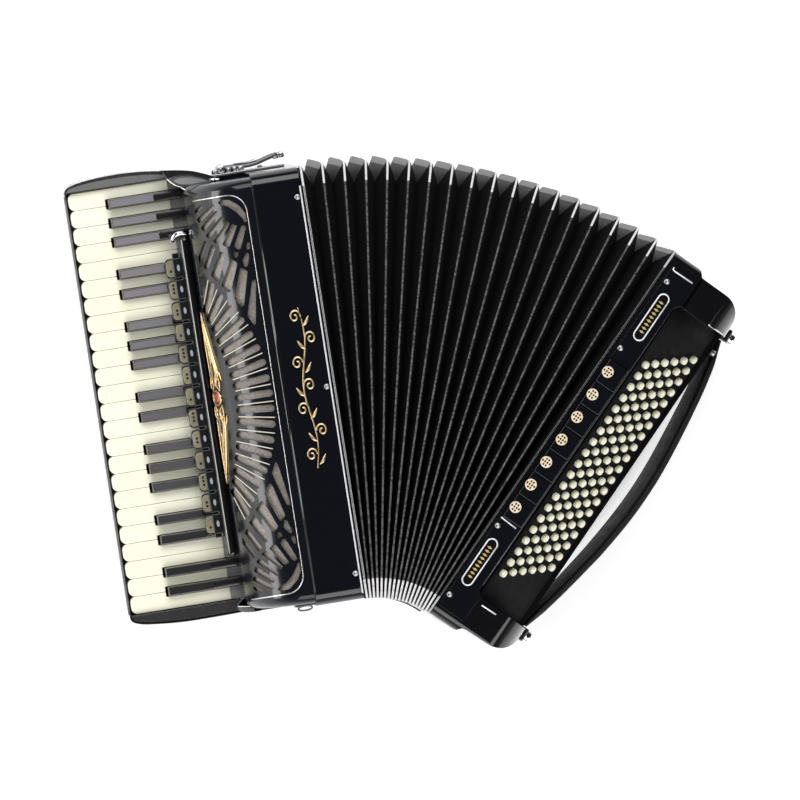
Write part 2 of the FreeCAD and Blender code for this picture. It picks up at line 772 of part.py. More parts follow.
anchors = body("strap_blocks")
put(anchors, BASS)
ends = [
    [(out_x + 0.2, 196), (out_x + 10.6, 196), (out_x + 10.6, 212), (out_x + 0.2, 212)],
    [(out_x + 0.2, -212), (out_x + 10.6, -212), (out_x + 10.6, -196), (out_x + 0.2, -196)],
]
pad(anchors, "XY_Plane", ends, 50, 90)
pad(anchors, "YZ_Plane", [[-203.5, 70, 7.5]], out_x + 10.5, out_x + 18.5)

wheel = body("strap_wheel")
put(wheel, BASS)
pad(wheel, "YZ_Plane", [[203.5, 70, 3]], out_x + 4.5, out_x + 12)
pad(wheel, "YZ_Plane", [[203.5, 70, 7.5]], out_x + 11, out_x + 18.5)
pocket(anchors, "YZ_Plane", [[203.5, 70, 3.05]], out_x + 4, out_x + 11)

air = body("air_button")
put(air, BASS)
pad(air, "YZ_Plane", [[178, 102.6, 3.6]], out_x - 1, out_x + 6)
pocket(bass, "YZ_Plane", [[178, 102.6, 4]], out_x - 4.5, out_x + 1)

# ------------------------------------------------------------ check and write
doc.recompute()
for thing in doc.Objects:
    if "Invalid" in thing.State or "Error" in thing.State:
        raise RuntimeError("%s does not rebuild: %s" % (thing.Name, thing.State))
os.makedirs("parts", exist_ok=True)
for node in NODES:
    shape = node.Shape
    if shape.isNull() or not shape.isValid() or not shape.Solids:
        raise RuntimeError("%s has no sound solid" % node.Label)
    shape.exportStep("parts/%s.step" % node.Label)
print(len(NODES), "nodes")
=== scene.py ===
from math import atan2, copysign, cos, degrees, hypot, pi, radians, sin, sqrt
import bmesh
import bpy
import numpy as np
from mathutils import Matrix, Vector


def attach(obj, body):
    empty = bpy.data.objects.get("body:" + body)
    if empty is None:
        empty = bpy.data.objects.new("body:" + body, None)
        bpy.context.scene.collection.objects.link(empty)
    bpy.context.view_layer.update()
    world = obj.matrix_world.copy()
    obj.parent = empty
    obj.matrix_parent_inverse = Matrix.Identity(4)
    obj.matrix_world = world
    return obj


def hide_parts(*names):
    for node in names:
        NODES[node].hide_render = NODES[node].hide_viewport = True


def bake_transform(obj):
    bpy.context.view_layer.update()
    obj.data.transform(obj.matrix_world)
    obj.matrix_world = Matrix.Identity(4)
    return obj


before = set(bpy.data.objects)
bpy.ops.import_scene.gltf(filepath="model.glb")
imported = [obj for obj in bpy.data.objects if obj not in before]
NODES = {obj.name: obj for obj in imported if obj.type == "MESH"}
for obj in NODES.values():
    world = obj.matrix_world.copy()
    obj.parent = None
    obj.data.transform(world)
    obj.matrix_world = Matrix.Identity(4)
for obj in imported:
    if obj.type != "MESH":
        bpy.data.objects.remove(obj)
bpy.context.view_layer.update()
M = 0.001  # shapes are drawn in millimetres and scaled to metres
scene = bpy.context.scene


# ---- materials
def add(t, kind, **inputs):
    """A shader node with its inputs set; an underscore stands for a space."""
    n = t.nodes.new("ShaderNode" + kind)
    for k, v in inputs.items():
        n.inputs[k.replace("_", " ")].default_value = v
    return n


def link(t, a, out, b, into):
    t.links.new(a.outputs[out], b.inputs[into])


def shader(m):
    return m.node_tree, m.node_tree.nodes["Principled BSDF"]


def plain(name, color, rough, metal=0.0, coat=0.0, spec=0.5):
    m = bpy.data.materials.new(name)
    m.use_nodes = True
    values = {"Base Color": (*color, 1), "Roughness": rough, "Metallic": metal, "Coat Weight": coat,
              "Coat Roughness": 0.03, "Specular IOR Level": spec}
    for k, v in values.items():
        shader(m)[1].inputs[k].default_value = v
    return m


def noise(t, scale, detail, stretch=(1, 1, 1)):
    """Noise over the object's own coordinates."""
    c, s = add(t, "TexCoord"), add(t, "Mapping", Scale=stretch)
    n = add(t, "TexNoise", Scale=scale, Detail=detail)
    link(t, c, "Object", s, "Vector")
    link(t, s, "Vector", n, "Vector")
    return n


def spread(t, low, high, to_low, to_high):
    """Maps one range of values to another."""
    return add(t, "MapRange", From_Min=low, From_Max=high, To_Min=to_low, To_Max=to_high)


def tones(t, a, b, low=0.0, high=1.0):
    """A ramp from one colour to another."""
    r = add(t, "ValToRGB")
    for i, (tone, at) in enumerate(((a, low), (b, high))):
        r.color_ramp.elements[i].position = at
        r.color_ramp.elements[i].color = (*tone, 1)
    return r


def flecked(name, color, rough, scale, low, high, **more):
    """One colour, with a fine noise on the roughness."""
    m = plain(name, color, rough, **more)
    t, b = shader(m)
    r = spread(t, 0.3, 0.7, low, high)
    link(t, noise(t, scale, 3.0), "Fac", r, "Value")
    link(t, r, "Result", b, "Roughness")
    return m


def bumpy(m, scale, strength, distance):
    t, b = shader(m)
    u = add(t, "Bump", Strength=strength, Distance=distance)
    link(t, noise(t, scale, 2.0), "Fac", u, "Height")
    link(t, u, "Normal", b, "Normal")
    return m


def mixed(m, scale, a, b, low=0.3, high=0.7, stretch=(1, 1, 1)):
    """Base colour from a noise between two tones."""
    t, out = shader(m)
    r = tones(t, a, b, low, high)
    link(t, noise(t, scale, 2.0, stretch), "Fac", r, "Fac")
    link(t, r, "Color", out, "Base Color")
    return m


LACQUER = flecked("lacquer", (0.004, 0.004, 0.005), 0.08, 90, 0.07, 0.12, coat=1.0)
NAVY = flecked("lacquer_front", (0.0035, 0.0042, 0.0065), 0.12, 90, 0.1, 0.15, coat=0.35, spec=0.4)
PIANO_BLACK = flecked("key_black", (0.010, 0.010, 0.011), 0.22, 150, 0.2, 0.28, coat=0.5)
IVORY = mixed(plain("ivory", (0.93, 0.925, 0.74), 0.22, coat=0.5), 12,
              (0.92, 0.91, 0.72), (0.95, 0.945, 0.78))
# key tails are painted grey as the shade under the grille
SHADED_TAIL = flecked("key_tail_painted_shade", (0.30, 0.295, 0.29), 0.5, 80, 0.45, 0.55)
# a grey that stands for painted sheen: keyboard rim, top cheek plate, eye hollow and lower wing
SHEEN_GREY = flecked("cheek_painted_sheen", (0.15, 0.15, 0.152), 0.3, 60, 0.26, 0.34, coat=0.6)
GILT = flecked("gilt_paint", (0.50, 0.38, 0.13), 0.4, 200, 0.35, 0.45)
CREAM = mixed(plain("button_cream", (0.88, 0.87, 0.68), 0.25, coat=0.4), 60,
              (0.85, 0.84, 0.64), (0.91, 0.90, 0.72))
CHROME = flecked("chrome", (0.78, 0.78, 0.80), 0.08, 200, 0.06, 0.12, metal=1.0)
PLATE = flecked("bright_plate", (0.86, 0.86, 0.87), 0.3, 200, 0.25, 0.35, metal=0.25)
SILVER = flecked("silver_line", (0.72, 0.70, 0.66), 0.2, 200, 0.18, 0.3, metal=1.0)
DARK_STEEL = flecked("dark_steel", (0.16, 0.16, 0.165), 0.28, 120, 0.24, 0.36, metal=1.0)
STEEL = flecked("steel", (0.45, 0.45, 0.46), 0.3, 120, 0.25, 0.4, metal=1.0)
GOLD = flecked("gold", (0.78, 0.56, 0.30), 0.22, 150, 0.18, 0.32, metal=1.0)
GOLD_LINE = flecked("gold_line", (0.86, 0.66, 0.38), 0.3, 150, 0.25, 0.4, metal=1.0)
CREAM_LINE = flecked("cream_line", (0.62, 0.56, 0.45), 0.4, 150, 0.35, 0.45)
RED = flecked("red_stone", (0.35, 0.02, 0.015), 0.08, 60, 0.06, 0.12, coat=1.0)
OLIVE = mixed(plain("switch_face", (0.24, 0.22, 0.15), 0.3, coat=0.4), 60,
              (0.20, 0.185, 0.125), (0.27, 0.25, 0.17))
# a pale blue-grey for the painted highlight on each switch top
PAINTED_GLINT = flecked("switch_glint_paint", (0.36, 0.41, 0.46), 0.3, 60, 0.25, 0.35)
BELLOWS = bumpy(flecked("bellows_cloth", (0.007, 0.007, 0.008), 0.5, 300, 0.5, 0.65, spec=0.16),
                900, 0.25, 0.0003)
RIDGE = mixed(plain("bellows_edge", (0.09, 0.09, 0.092), 0.5), 420, (0.02, 0.02, 0.021), (0.11, 0.11, 0.112),
              low=0.42, high=0.58)
# a lit grey copy of the bellows cloth, for painted sheen
SHEEN_CLOTH = bumpy(flecked("bellows_cloth_painted_sheen", (0.20, 0.20, 0.203), 0.55, 200, 0.5, 0.65, spec=0.3),
             500, 0.2, 0.0003)
LEATHER = bumpy(flecked("strap_leather", (0.006, 0.006, 0.007), 0.5, 120, 0.42, 0.58, spec=0.3),
                350, 0.35, 0.0006)
WOOD = mixed(plain("spruce", (0.5, 0.34, 0.2), 0.55), 18, (0.42, 0.28, 0.16), (0.58, 0.42, 0.26),
             0.4, 0.6, (1, 12, 1))
ALU = flecked("reed_plates", (0.6, 0.6, 0.6), 0.4, 90, 0.3, 0.5, metal=1.0)
SHELL = flecked("grille_shell", (0.005, 0.006, 0.009), 0.16, 90, 0.14, 0.2, coat=0.25, spec=0.25)
BASS_LACQUER = flecked("bass_lacquer", (0.004, 0.004, 0.005), 0.12, 90, 0.1, 0.16, coat=0.35, spec=0.4)
CHEEK = flecked("cheek", (0.030, 0.030, 0.031), 0.25, 60, 0.22, 0.3, coat=0.7)
LIT = flecked("lacquer_lit", (0.06, 0.06, 0.062), 0.2, 90, 0.18, 0.26, coat=0.6)
CREAM_GOLD = mixed(plain("emblem", (0.80, 0.66, 0.46), 0.3), 200, (0.74, 0.58, 0.38), (0.85, 0.76, 0.6))
BOARD = flecked("button_board", (0.003, 0.003, 0.004), 0.55, 120, 0.5, 0.6, spec=0.05)
SEAM = flecked("strap_seam", (0.022, 0.022, 0.024), 0.5, 200, 0.45, 0.6)


def weave():
    """Brown-grey grille cloth: two crossed waves under a fleck of noise."""
    m = plain("grille_cloth", (0.8, 0.8, 0.8), 0.55)
    t, b = shader(m)
    c, both, total = add(t, "TexCoord"), add(t, "Math"), add(t, "Math")
    both.operation = "MULTIPLY"
    for i, turn in enumerate((0.4, pi / 2 + 0.4)):
        s = add(t, "Mapping", Rotation=(0, 0, turn))
        w = add(t, "TexWave", Scale=260.0, Distortion=2.0)
        link(t, c, "Object", s, "Vector")
        link(t, s, "Vector", w, "Vector")
        link(t, w, "Fac", both, i)
    link(t, both, 0, total, 0)
    link(t, noise(t, 460.0, 2.0), "Fac", total, 1)
    r = tones(t, (0.04, 0.034, 0.028), (0.36, 0.32, 0.28), 0.35, 1.0)
    link(t, total, 0, r, "Fac")
    link(t, r, "Color", b, "Base Color")
    return m


def painted_key_reflection():
    """Painted reflection on the black keys' tops: black at the foot end, greyer towards the chin end."""
    m = plain("key_black_painted_reflection", (0.8, 0.8, 0.8), 0.35)
    t, b = shader(m)
    s, r = add(t, "SeparateXYZ"), spread(t, -0.16, 0.12, 0.0, 1.0)
    shade = tones(t, (0.012, 0.012, 0.013), (0.20, 0.195, 0.21))
    link(t, add(t, "TexCoord"), "Object", s, "Vector")
    link(t, s, "Y", r, "Value")
    link(t, r, "Result", shade, "Fac")
    link(t, shade, "Color", b, "Base Color")
    return m


CLOTH = weave()


# ---- helpers
X, Y, Z = (1, 0, 0), (0, 1, 0), (0, 0, 1)


def mesh(name, verts, faces, mat, place=None, smooth=True):
    me = bpy.data.meshes.new(name)
    me.from_pydata([tuple(v) for v in verts], [], faces)
    bm = bmesh.new()
    bm.from_mesh(me)
    bmesh.ops.remove_doubles(bm, verts=bm.verts, dist=1e-7)
    bmesh.ops.recalc_face_normals(bm, faces=bm.faces)
    bm.to_mesh(me)
    bm.free()
    me.transform(Matrix.Scale(M, 4))
    if place is not None:
        me.transform(place)
    me.materials.append(mat)
    for p in me.polygons:
        p.use_smooth = smooth
    return put(name, me)


def put(name, data):
    o = bpy.data.objects.new(name, data)
    scene.collection.objects.link(o)
    return o


def soften(o, width, segments=3, angle=35):
    """Rounded edges, with the flats kept flat."""
    mod = o.modifiers.new("bevel", "BEVEL")
    mod.width = width * M
    mod.segments = segments
    mod.limit_method = "ANGLE"
    mod.angle_limit = radians(angle)
    mod.harden_normals = True
    return o


def gather(parts):
    """Joins lists of (verts, faces)."""
    verts, faces = [], []
    for v, f in parts:
        k = len(verts)
        verts += list(v)
        faces += [tuple(i + k for i in one) for one in f]
    return verts, faces


def stacked(n, rows, ends=True):
    """Faces round a stack of rows of n points, with the two end rows filled."""
    faces = []
    for k in range(0, n * (rows - 1), n):
        for i in range(n):
            j = (i + 1) % n
            faces.append((k + i, k + j, k + n + j, k + n + i))
    if ends:
        faces += [tuple(range(n - 1, -1, -1)), tuple(range(n * (rows - 1), n * rows))]
    return faces


def prism_parts(loop, low, high, axis="z"):
    """Verts and faces of a straight prism over a closed outline."""
    verts = []
    for level in (low, high):
        for a, b in loop:
            verts.append({"z": (a, b, level), "y": (a, level, b), "x": (level, a, b)}[axis])
    return verts, stacked(len(loop), 2)


def many(name, parts, mat, place=None, smooth=True, bevel=0.0, segments=2, angle=35):
    o = mesh(name, *gather(parts), mat, place, smooth)
    if bevel:
        soften(o, bevel, segments, angle)
    return o


def prism(name, loop, low, high, mat, axis="z", place=None, bevel=0.0, segments=3, angle=35):
    return many(name, [prism_parts(loop, low, high, axis)], mat, place, bevel > 0, bevel, segments, angle)


def rect(x0, y0, x1, y1):
    return [(x0, y0), (x1, y0), (x1, y1), (x0, y1)]


def block(name, lo, hi, mat, bevel=0.5):
    return prism(name, rect(*lo[:2], *hi[:2]), lo[2], hi[2], mat, bevel=bevel)


def arc(cx, cy, r, a0, a1, n=8, ry=None):
    """Points on an arc, angles in degrees."""
    ry = r if ry is None else ry
    out = []
    for i in range(n + 1):
        a = radians(a0 + (a1 - a0) * i / n)
        out.append((cx + r * cos(a), cy + ry * sin(a)))
    return out


def between(p, q, f):
    return p[0] + (q[0] - p[0]) * f, p[1] + (q[1] - p[1]) * f


def oval(cx, cy, r, step, ry=None):
    """Points round an oval, one at each step of degrees."""
    return arc(cx, cy, r, 0, 360 - step, 360 // step - 1, ry)


def smooth_line(points, per=6):
    """A Catmull-Rom line through the points."""
    p = [np.array(q, float) for q in points]
    p = [2 * p[0] - p[1]] + p + [2 * p[-1] - p[-2]]
    out = []
    for i in range(1, len(p) - 2):
        for k in range(per):
            t = k / per
            out.append(0.5 * (2 * p[i] + (p[i + 1] - p[i - 1]) * t
                              + (2 * p[i - 1] - 5 * p[i] + 4 * p[i + 1] - p[i + 2]) * t * t
                              + (3 * p[i] - p[i - 1] - 3 * p[i + 1] + p[i + 2]) * t ** 3))
    out.append(p[-2])
    return [tuple(q) for q in out]


def tube_parts(path, radius, sides=10, flat=1.0):
    """Verts and faces of a closed tube along 3-D points; radius may be a list."""
    pts = [Vector(p) for p in path]
    n = len(pts)
    radii = radius if isinstance(radius, list) else [radius] * n
    verts = []
    for i, p in enumerate(pts):
        d = (pts[min(i + 1, n - 1)] - pts[max(i - 1, 0)]).normalized()
        side = d.cross(Vector((0, 0, 1)))
        if side.length < 1e-6:
            side = d.cross(Vector((1, 0, 0)))
        side.normalize()
        top = side.cross(d)
        for s in range(sides):
            a = 2 * pi * s / sides
            verts.append(p + side * cos(a) * radii[i] + top * sin(a) * radii[i] * flat)
    return verts, stacked(sides, n)


def tube(name, path, radius, mat, place=None, sides=10, flat=1.0):
    return many(name, [tube_parts(path, radius, sides, flat)], mat, place)


def lathe_parts(profile, origin, axis, sides=24):
    """Verts and faces turned about an axis; the profile is (radius, height)."""
    z = Vector(axis).normalized()
    x = z.orthogonal().normalized()
    y = z.cross(x)
    verts = []
    for r, h in profile:
        for s in range(sides):
            a = 2 * pi * s / sides
            verts.append(Vector(origin) + z * h + (x * cos(a) + y * sin(a)) * max(r, 1e-3))
    return verts, stacked(sides, len(profile))


def lathe(name, profile, origin, axis, mat, place=None, sides=24):
    return many(name, [lathe_parts(profile, origin, axis, sides)], mat, place)


def screw(x, y, z):
    return lathe_parts([(3.3, 0), (3.3, 0.5), (2.6, 1.1), (1.4, 1.15), (1.2, 0.7), (0.2, 0.7)],
                       (x, y, z), Z, 20)


def cut(o, by, how="DIFFERENCE"):
    """Applies a boolean and drops the cutter."""
    mod = o.modifiers.new("cut", "BOOLEAN")
    mod.operation = how
    mod.object = by
    mod.solver = "EXACT"
    bpy.context.view_layer.update()
    done = bpy.data.meshes.new_from_object(o.evaluated_get(bpy.context.evaluated_depsgraph_get()))
    o.modifiers.clear()
    o.data = done
    bpy.data.objects.remove(by)


def tool(loop, low, high, axis="z"):
    return prism("tool", loop, low, high, LACQUER, axis)


def even(o, angle=30):
    for p in o.data.polygons:
        p.use_smooth = True
    o.data.set_sharp_from_angle(angle=radians(angle))


def on(o, body, *nodes, slot=None):
    """The piece rides a body and stands for CAD nodes, which it hides; its slot argument is not used."""
    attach(o, body)
    if nodes:
        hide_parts(*nodes)


# The fan of the bellows at rest: each fold turns about the foot edge.
TURN, PITCH, FOLDS = 2.404, 4.0, 17
REACH = 246  # half a fold's length
FOOT = [(61.0, -REACH)]
for step in range(1, FOLDS + 2):
    a, b = radians(TURN * (step - 1)), radians(TURN * step)
    FOOT.append((FOOT[-1][0] + PITCH / 2 * (cos(a) + cos(b)),
                 FOOT[-1][1] - PITCH / 2 * (sin(a) + sin(b))))


def stand(step):
    """Matrix from a fold's own frame, centred on its length, to the row frame."""
    turn = radians(-TURN * step)
    x, y = FOOT[step]
    back = Matrix.Rotation(turn, 4, "Z") @ Vector((0, REACH * M, 0))
    return Matrix.Translation(Vector((x * M, y * M, 0)) + back) @ Matrix.Rotation(turn, 4, "Z")


def spot(place, x, y, z):
    return place @ Vector((x * M, y * M, z * M))


BASS = stand(FOLDS + 1)
BODIES = ["treble"] + ["fold_%02d" % n for n in range(1, FOLDS + 1)] + ["bass"]
# From the part to the camera, and the height of the front plane.
LOOK = Vector((-0.0785, 0.048, 0.9958)).normalized()
FRONT = 200


# ---- treble casing
# The grille's section is a quarter of an ellipse: centre and half axes along x and z.
MID_X, MID_Z, WIDE, TALL = 3.6, 103, 71.6, 96.5


def curve(t, inset=0.0):
    return MID_X - (WIDE - inset) * sin(t), MID_Z + (TALL - inset) * cos(t)


def above(t, y, lift):
    """A point lifted off the grille."""
    x, z = curve(t)
    nx, nz = sin(t) / WIDE, cos(t) / TALL
    n = hypot(nx, nz)
    return x - lift * nx / n, y, z + lift * nz / n


def drop(x, y, lift=0.0):
    """Where the line of sight through a point of the front plane meets the grille."""
    low, high = 0.0, pi / 2
    for _ in range(30):
        t = (low + high) / 2
        gx, gz = curve(t)
        if gx - LOOK.x * (gz - FRONT) / LOOK.z > x:
            low = t
        else:
            high = t
    t = (low + high) / 2
    return above(t, y + LOOK.y * (curve(t)[1] - FRONT) / LOOK.z, lift)


HALF = 245  # half the casing's length


def casing():
    """Front part of the casing: flat navy front with rounded ends."""
    r = 15
    outline = [(-HALF, 0), (HALF, 0)]
    outline += arc(HALF - r, FRONT - r, r, 0, 90) + arc(r - HALF, FRONT - r, r, 90, 180)
    on(prism("casing_front", outline, 3.9, 57.6, NAVY, "x", bevel=0.6, angle=50), "treble", "treble_casing")
    low = prism("casing_low", rect(-HALF, 0, HALF, 102), -59, 4.1, LACQUER, "x")
    cut(low, tool(rect(-62, -238, 10, 238), 38, 110))
    even(low)
    on(low, "treble")
    on(block("casing_lip", (57.5, -244.4, 1), (59.4, 244.4, 199.4), LACQUER), "treble")


# Slots of the grille, in the plane of the front: centre line ends and width,
# given for one half and mirrored about the middle.
SLOT_ROWS = [
    (-48, 0, -12, 0), (-48.5, 14, -13, 17.2), (-50, 26.5, -14.5, 35), (-52.5, 41, -18.5, 52.3),
    (-55.3, 54, -24, 68.2), (-58.5, 66.5, -31.5, 85), (-62, 80.5, -41, 100), (-66, 92, -51, 115),
    (-69, 103, -59, 129),
]
LINES = [
    (-49.5, 8, -9, 9.6), (-50.5, 21, -10, 28), (-53, 35, -13, 45.5), (-57, 48, -18, 62.5),
    (-60, 61, -24, 79.5), (-62.5, 73, -32.5, 95), (-65, 86, -43, 110), (-67, 99, -52.5, 124),
    (-70, 110, -61, 136),
]
PANELS = [
    [(-17.5, 77.5), (-15.3, 79.5), (-8, 125), (-8, 128), (-12, 127.5), (-23.5, 89.5)],
    [(-28, 100), (-25.3, 101.5), (-15.5, 138.5), (-21.5, 143.5), (-23.5, 142.5), (-35, 110.5)],
    [(-40.5, 118), (-37.5, 119.5), (-25.3, 149.5), (-31, 155), (-33, 154), (-47.5, 127)],
    [(-51.5, 133), (-49, 134), (-37, 161.5), (-42, 165.5), (-43.5, 164.5), (-57.3, 140.5)],
    [(-60.5, 146), (-47.2, 170), (-51, 174.3), (-52.5, 173), (-64.3, 151)],
    [(-68, 155), (-56, 178), (-58.5, 181), (-68.5, 163)],
    [(-17.8, 143.3), (-14.5, 144), (-10.3, 157.5), (-13, 159.5), (-19.8, 151.5)],
    [(-26, 155.3), (-23, 157.5), (-22.5, 161), (-28, 162.6), (-29.6, 160.5)],
    [(-12.3, 162.3), (-8.6, 163), (-8, 170), (-10, 171.6), (-13.3, 166)],
    [(-21.5, 163.5), (-19.5, 164.5), (-9.3, 188.5), (-13, 190.6), (-15, 189.5), (-26.6, 168.3)],
    [(-34, 168), (-31, 169.5), (-19.2, 191), (-24, 193.6), (-26, 192), (-39.2, 172.3)],
    [(-45, 174.3), (-42.5, 175), (-27.2, 194.5), (-29, 197.6), (-31, 196.5), (-49, 177.3)],
    [(-53.5, 181.8), (-51, 182.5), (-32.8, 201.3), (-35, 204.2), (-37, 203), (-56.3, 185.5)],
    [(-58.5, 190.5), (-56.5, 191), (-37.3, 207.5), (-40, 211.2), (-42, 210.5), (-60.3, 195.5)],
    [(-62, 200.5), (-60, 201), (-39.7, 215.5), (-41.5, 218.8), (-44, 218.5), (-63.3, 205.5)],
    [(-64, 211.5), (-55, 217.5), (-57, 220.8), (-64, 215.5)],
    [(-10.5, 193.3), (-7.7, 193.3), (-8, 203), (-14, 213), (-24, 220.8), (-34, 221.8),
     (-37, 219.5), (-35.5, 217), (-27, 213.8), (-18, 206), (-12, 197.5)],
]


def stadium(x0, y0, x1, y1, r, n=6):
    a = degrees(atan2(y1 - y0, x1 - x0))
    return arc(x1, y1, r, a - 90, a + 90, n) + arc(x0, y0, r, a + 90, a + 270, n)


def round_corners(loop, r=1.1):
    """Turns each corner into a short arc."""
    out = []
    n = len(loop)
    for i in range(n):
        p, q, s = (Vector(loop[(i + k) % n]) for k in (-1, 0, 1))
        a, b = p - q, s - q
        back = min(r, a.length * 0.45, b.length * 0.45)
        a, b = q + a.normalized() * back, q + b.normalized() * back
        for t in (0, 0.33, 0.67, 1):
            out.append(tuple((1 - t) ** 2 * a + 2 * t * (1 - t) * q + t * t * b))
    return out


def slanted(loop, low=90, high=230):
    """A cutter along the line of sight over an outline drawn at the front."""
    verts = []
    for z in (low, high):
        k = (z - FRONT) / LOOK.z
        verts += [(x + LOOK.x * k, y + LOOK.y * k, z) for x, y in loop]
    return verts, stacked(len(loop), 2)


def shell_profile(inset, n=44):
    """Points down the grille's curve, from the casing to the keyboard side."""
    return [curve(radians(90 * i / n), inset) for i in range(n + 1)]


def grid(rows, n):
    """Faces of an open sheet: rows of n points."""
    return [(k + i, k + i + 1, k + n + i + 1, k + n + i) for k in range(0, n * (rows - 1), n)
            for i in range(n - 1)]


def grille():
    half, n = 229.0, 44
    loop = shell_profile(0) + shell_profile(2.6)[::-1]
    shell = prism("grille_shell", loop, -half, half, SHELL, "y")
    cutters = []
    for side in (1, -1):
        for i, (x0, y0, x1, y1) in enumerate(SLOT_ROWS):
            if side > 0 or i:
                cutters.append(slanted(stadium(x0, side * y0, x1, side * y1, 4.0)))
        for panel in PANELS:
            cutters.append(slanted(round_corners([(x, side * y) for x, y in panel])))
    cut(shell, many("grille_cutters", cutters, LACQUER, smooth=False))
    even(shell)
    on(shell, "treble", "treble_grille")
    # the rounded ends: the curve rolled over towards each end
    steps, roll = 10, 12
    for side in (1, -1):
        verts = []
        for k in range(steps + 1):
            a = radians(90 * k / steps)
            y = side * (half + roll * sin(a))
            verts += [(x, y, z) for x, z in shell_profile(roll * (1 - cos(a)), n)]
        faces = grid(steps + 1, n + 1)
        last, centre = steps * (n + 1), len(verts)
        verts.append((MID_X, side * (half + roll), MID_Z))
        faces += [(last + i, last + i + 1, centre) for i in range(n)]
        on(mesh("grille_end", verts, faces, SHELL), "treble")
    # woven cloth just under the shell
    verts = [(x, y, z) for y in (-230, 230) for x, z in shell_profile(3.4, n)]
    on(mesh("grille_cloth", verts, grid(2, n + 1), CLOTH), "treble", "grille_mesh")
    # raised lines between the long slots
    strips = []
    for side in (1, -1):
        for x0, y0, x1, y1 in LINES:
            a, b = (x0, side * y0), (x1, side * y1)
            path = [drop(*between(a, b, k / 12), 0.1) for k in range(13)]
            strips.append(tube_parts(path, 0.62, 6))
    on(many("grille_lines", strips, CREAM_LINE), "treble")
    inlay = [(-68, 226)] + arc(-27, 204.5, 21.5, 90, 0, 10) + [(-5.5, 0)]
    path = inlay + [(x, -y) for x, y in inlay[::-1][1:]]
    dense = []
    for a, b in zip(path, path[1:]):
        steps = max(1, int(hypot(b[0] - a[0], b[1] - a[1]) / 4))
        dense += [drop(*between(a, b, k / steps), 0.1) for k in range(steps)]
    dense.append(drop(*path[-1], 0.1))
    on(tube("grille_inlay", dense, 0.7, SILVER, sides=8), "treble")


# Strands of one half of the ornament: places along the grille with degrees round its
# curve, and the thickness.
STRANDS = [
    ([(10, 66), (26, 65), (50, 70), (78, 77.5), (98, 84.5)], 1.5),
    ([(14, 84), (34, 83), (56, 83.5), (80, 84), (98, 84.5)], 1.3),
    ([(12, 74), (24, 68), (42, 72), (66, 80), (86, 83)], 1.0),
    ([(4, 84), (14, 78), (24, 80), (20, 86), (10, 86)], 1.3),
    ([(8, 66), (16, 72), (26, 70), (30, 64), (20, 61)], 1.2),
    ([(28, 83), (44, 76), (60, 80), (74, 83)], 0.8),
]


def ornament():
    """Gilt winged leaf with a red stone, on the grille's steep side."""
    def strand(points, r):
        path = [above(radians(a), y, 0.9) for y, a in smooth_line(points, 8)]
        n = len(path) - 1
        return tube_parts(path, [r * (0.45 + 0.55 * sin(pi * i / n)) for i in range(n + 1)], 8, 0.8)

    parts = []
    for k, s in enumerate((1, -1)):
        for points, r in STRANDS:
            parts.append(strand([(s * y, a) for y, a in points], r))
        web = [(12, 82), (13, 70), (30, 68), (56, 73), (88, 82), (56, 83)]
        ground = [above(radians(a), s * y, 0.35) for y, a in web]
        on(mesh("grille_ornament_ground_%d" % k, ground, [tuple(range(6))], OLIVE), "treble")
    for y, r in ((0, 8.0), (19, 3.6), (-19, 3.6)):
        turns = [2 * pi * i / 24 for i in range(25)]
        ring = [above(radians(75 + r * 1.15 * cos(c)), y + r * sin(c), 1.0) for c in turns]
        parts.append(tube_parts(ring, 1.2, 8))
    on(many("grille_ornament_leaf", parts, GOLD), "treble", "grille_ornament")
    verts = []
    for a, lift in ((0, 2.4), (0.4, 2.2), (0.75, 1.6), (1.0, 0.2)):
        for i in range(20):
            c = 2 * pi * i / 20
            verts.append(above(radians(75 + 7.5 * a * cos(c)), 6.6 * a * sin(c), lift))
    on(mesh("grille_ornament_stone", verts, stacked(20, 4, False), RED), "treble")


def front_details():
    """Bead beside the grille, bright edging, screws and the gilt flourish."""
    on(tube("casing_bead", [(4.4, -229, 198.6), (4.4, 229, 198.6)], 1.9, LACQUER, sides=16), "treble")
    on(block("treble_edging", (56.2, -238, 199.6), (57.9, 224, 200.9), PLATE, bevel=0.35),
       "treble", "treble_trim")
    screws = [screw(52.5, y, 200.1) for y in (212, -3, -215)]
    on(many("front_screws", screws, STEEL), "treble", "treble_screws")

    # a climbing vine: a waving stem with curled shoots and leaves on both sides
    def stem(f):
        return 31 + 4 * sin(3 * pi * f) + 5 * (f - 0.5), -92 + 182 * f

    path = [(*stem(i / 80), 200.8) for i in range(81)]
    radii = [0.5 + 0.6 * sin(pi * i / 80) for i in range(81)]
    on(tube("front_flourish_line", path, radii, GOLD_LINE, sides=6), "treble", "front_flourish")
    shoots = []
    for k in range(7):
        side = 1 if k % 2 else -1
        x, y = stem((k + 0.5) / 7)
        curl, n = [], 40
        for i in range(n):
            a, r = 2 * pi * 1.3 * i / (n - 1), 6.4 * (1 - 0.82 * i / (n - 1))
            curl.append((x + side * (6.8 - r * cos(a)), y + 3 + 1.25 * r * sin(a), 200.9))
        shoots.append(tube_parts(curl, 1.05, 6))
        leaf = [(x, y - 9, 200.8), (x - side * 4.5, y - 5, 200.9), (x - side * 8.5, y + 2, 200.8)]
        leaf = smooth_line(leaf, 8)
        n = len(leaf) - 1
        shoots.append(tube_parts(leaf, [0.3 + 1.5 * sin(pi * i / n) for i in range(n + 1)], 8, 0.5))
    on(many("front_flourish_shoots", shoots, GOLD_LINE), "treble")


# ---- keyboard
PITCH_WHITE = 20
ORDER = "FGABCDE"
SHIFT = {"F": 1.8, "G": 0.0, "A": -1.8, "C": 1.4, "D": -1.4}
KEY_TOP = 250.0  # chin end of the first key
BEND = -80.0  # where a key's ivory stops and its tail, grey with painted shade, begins
KEY_FOOT = 42


def sharp_y(n):
    return KEY_TOP - PITCH_WHITE * (n + 1) + SHIFT[ORDER[n % 7]]


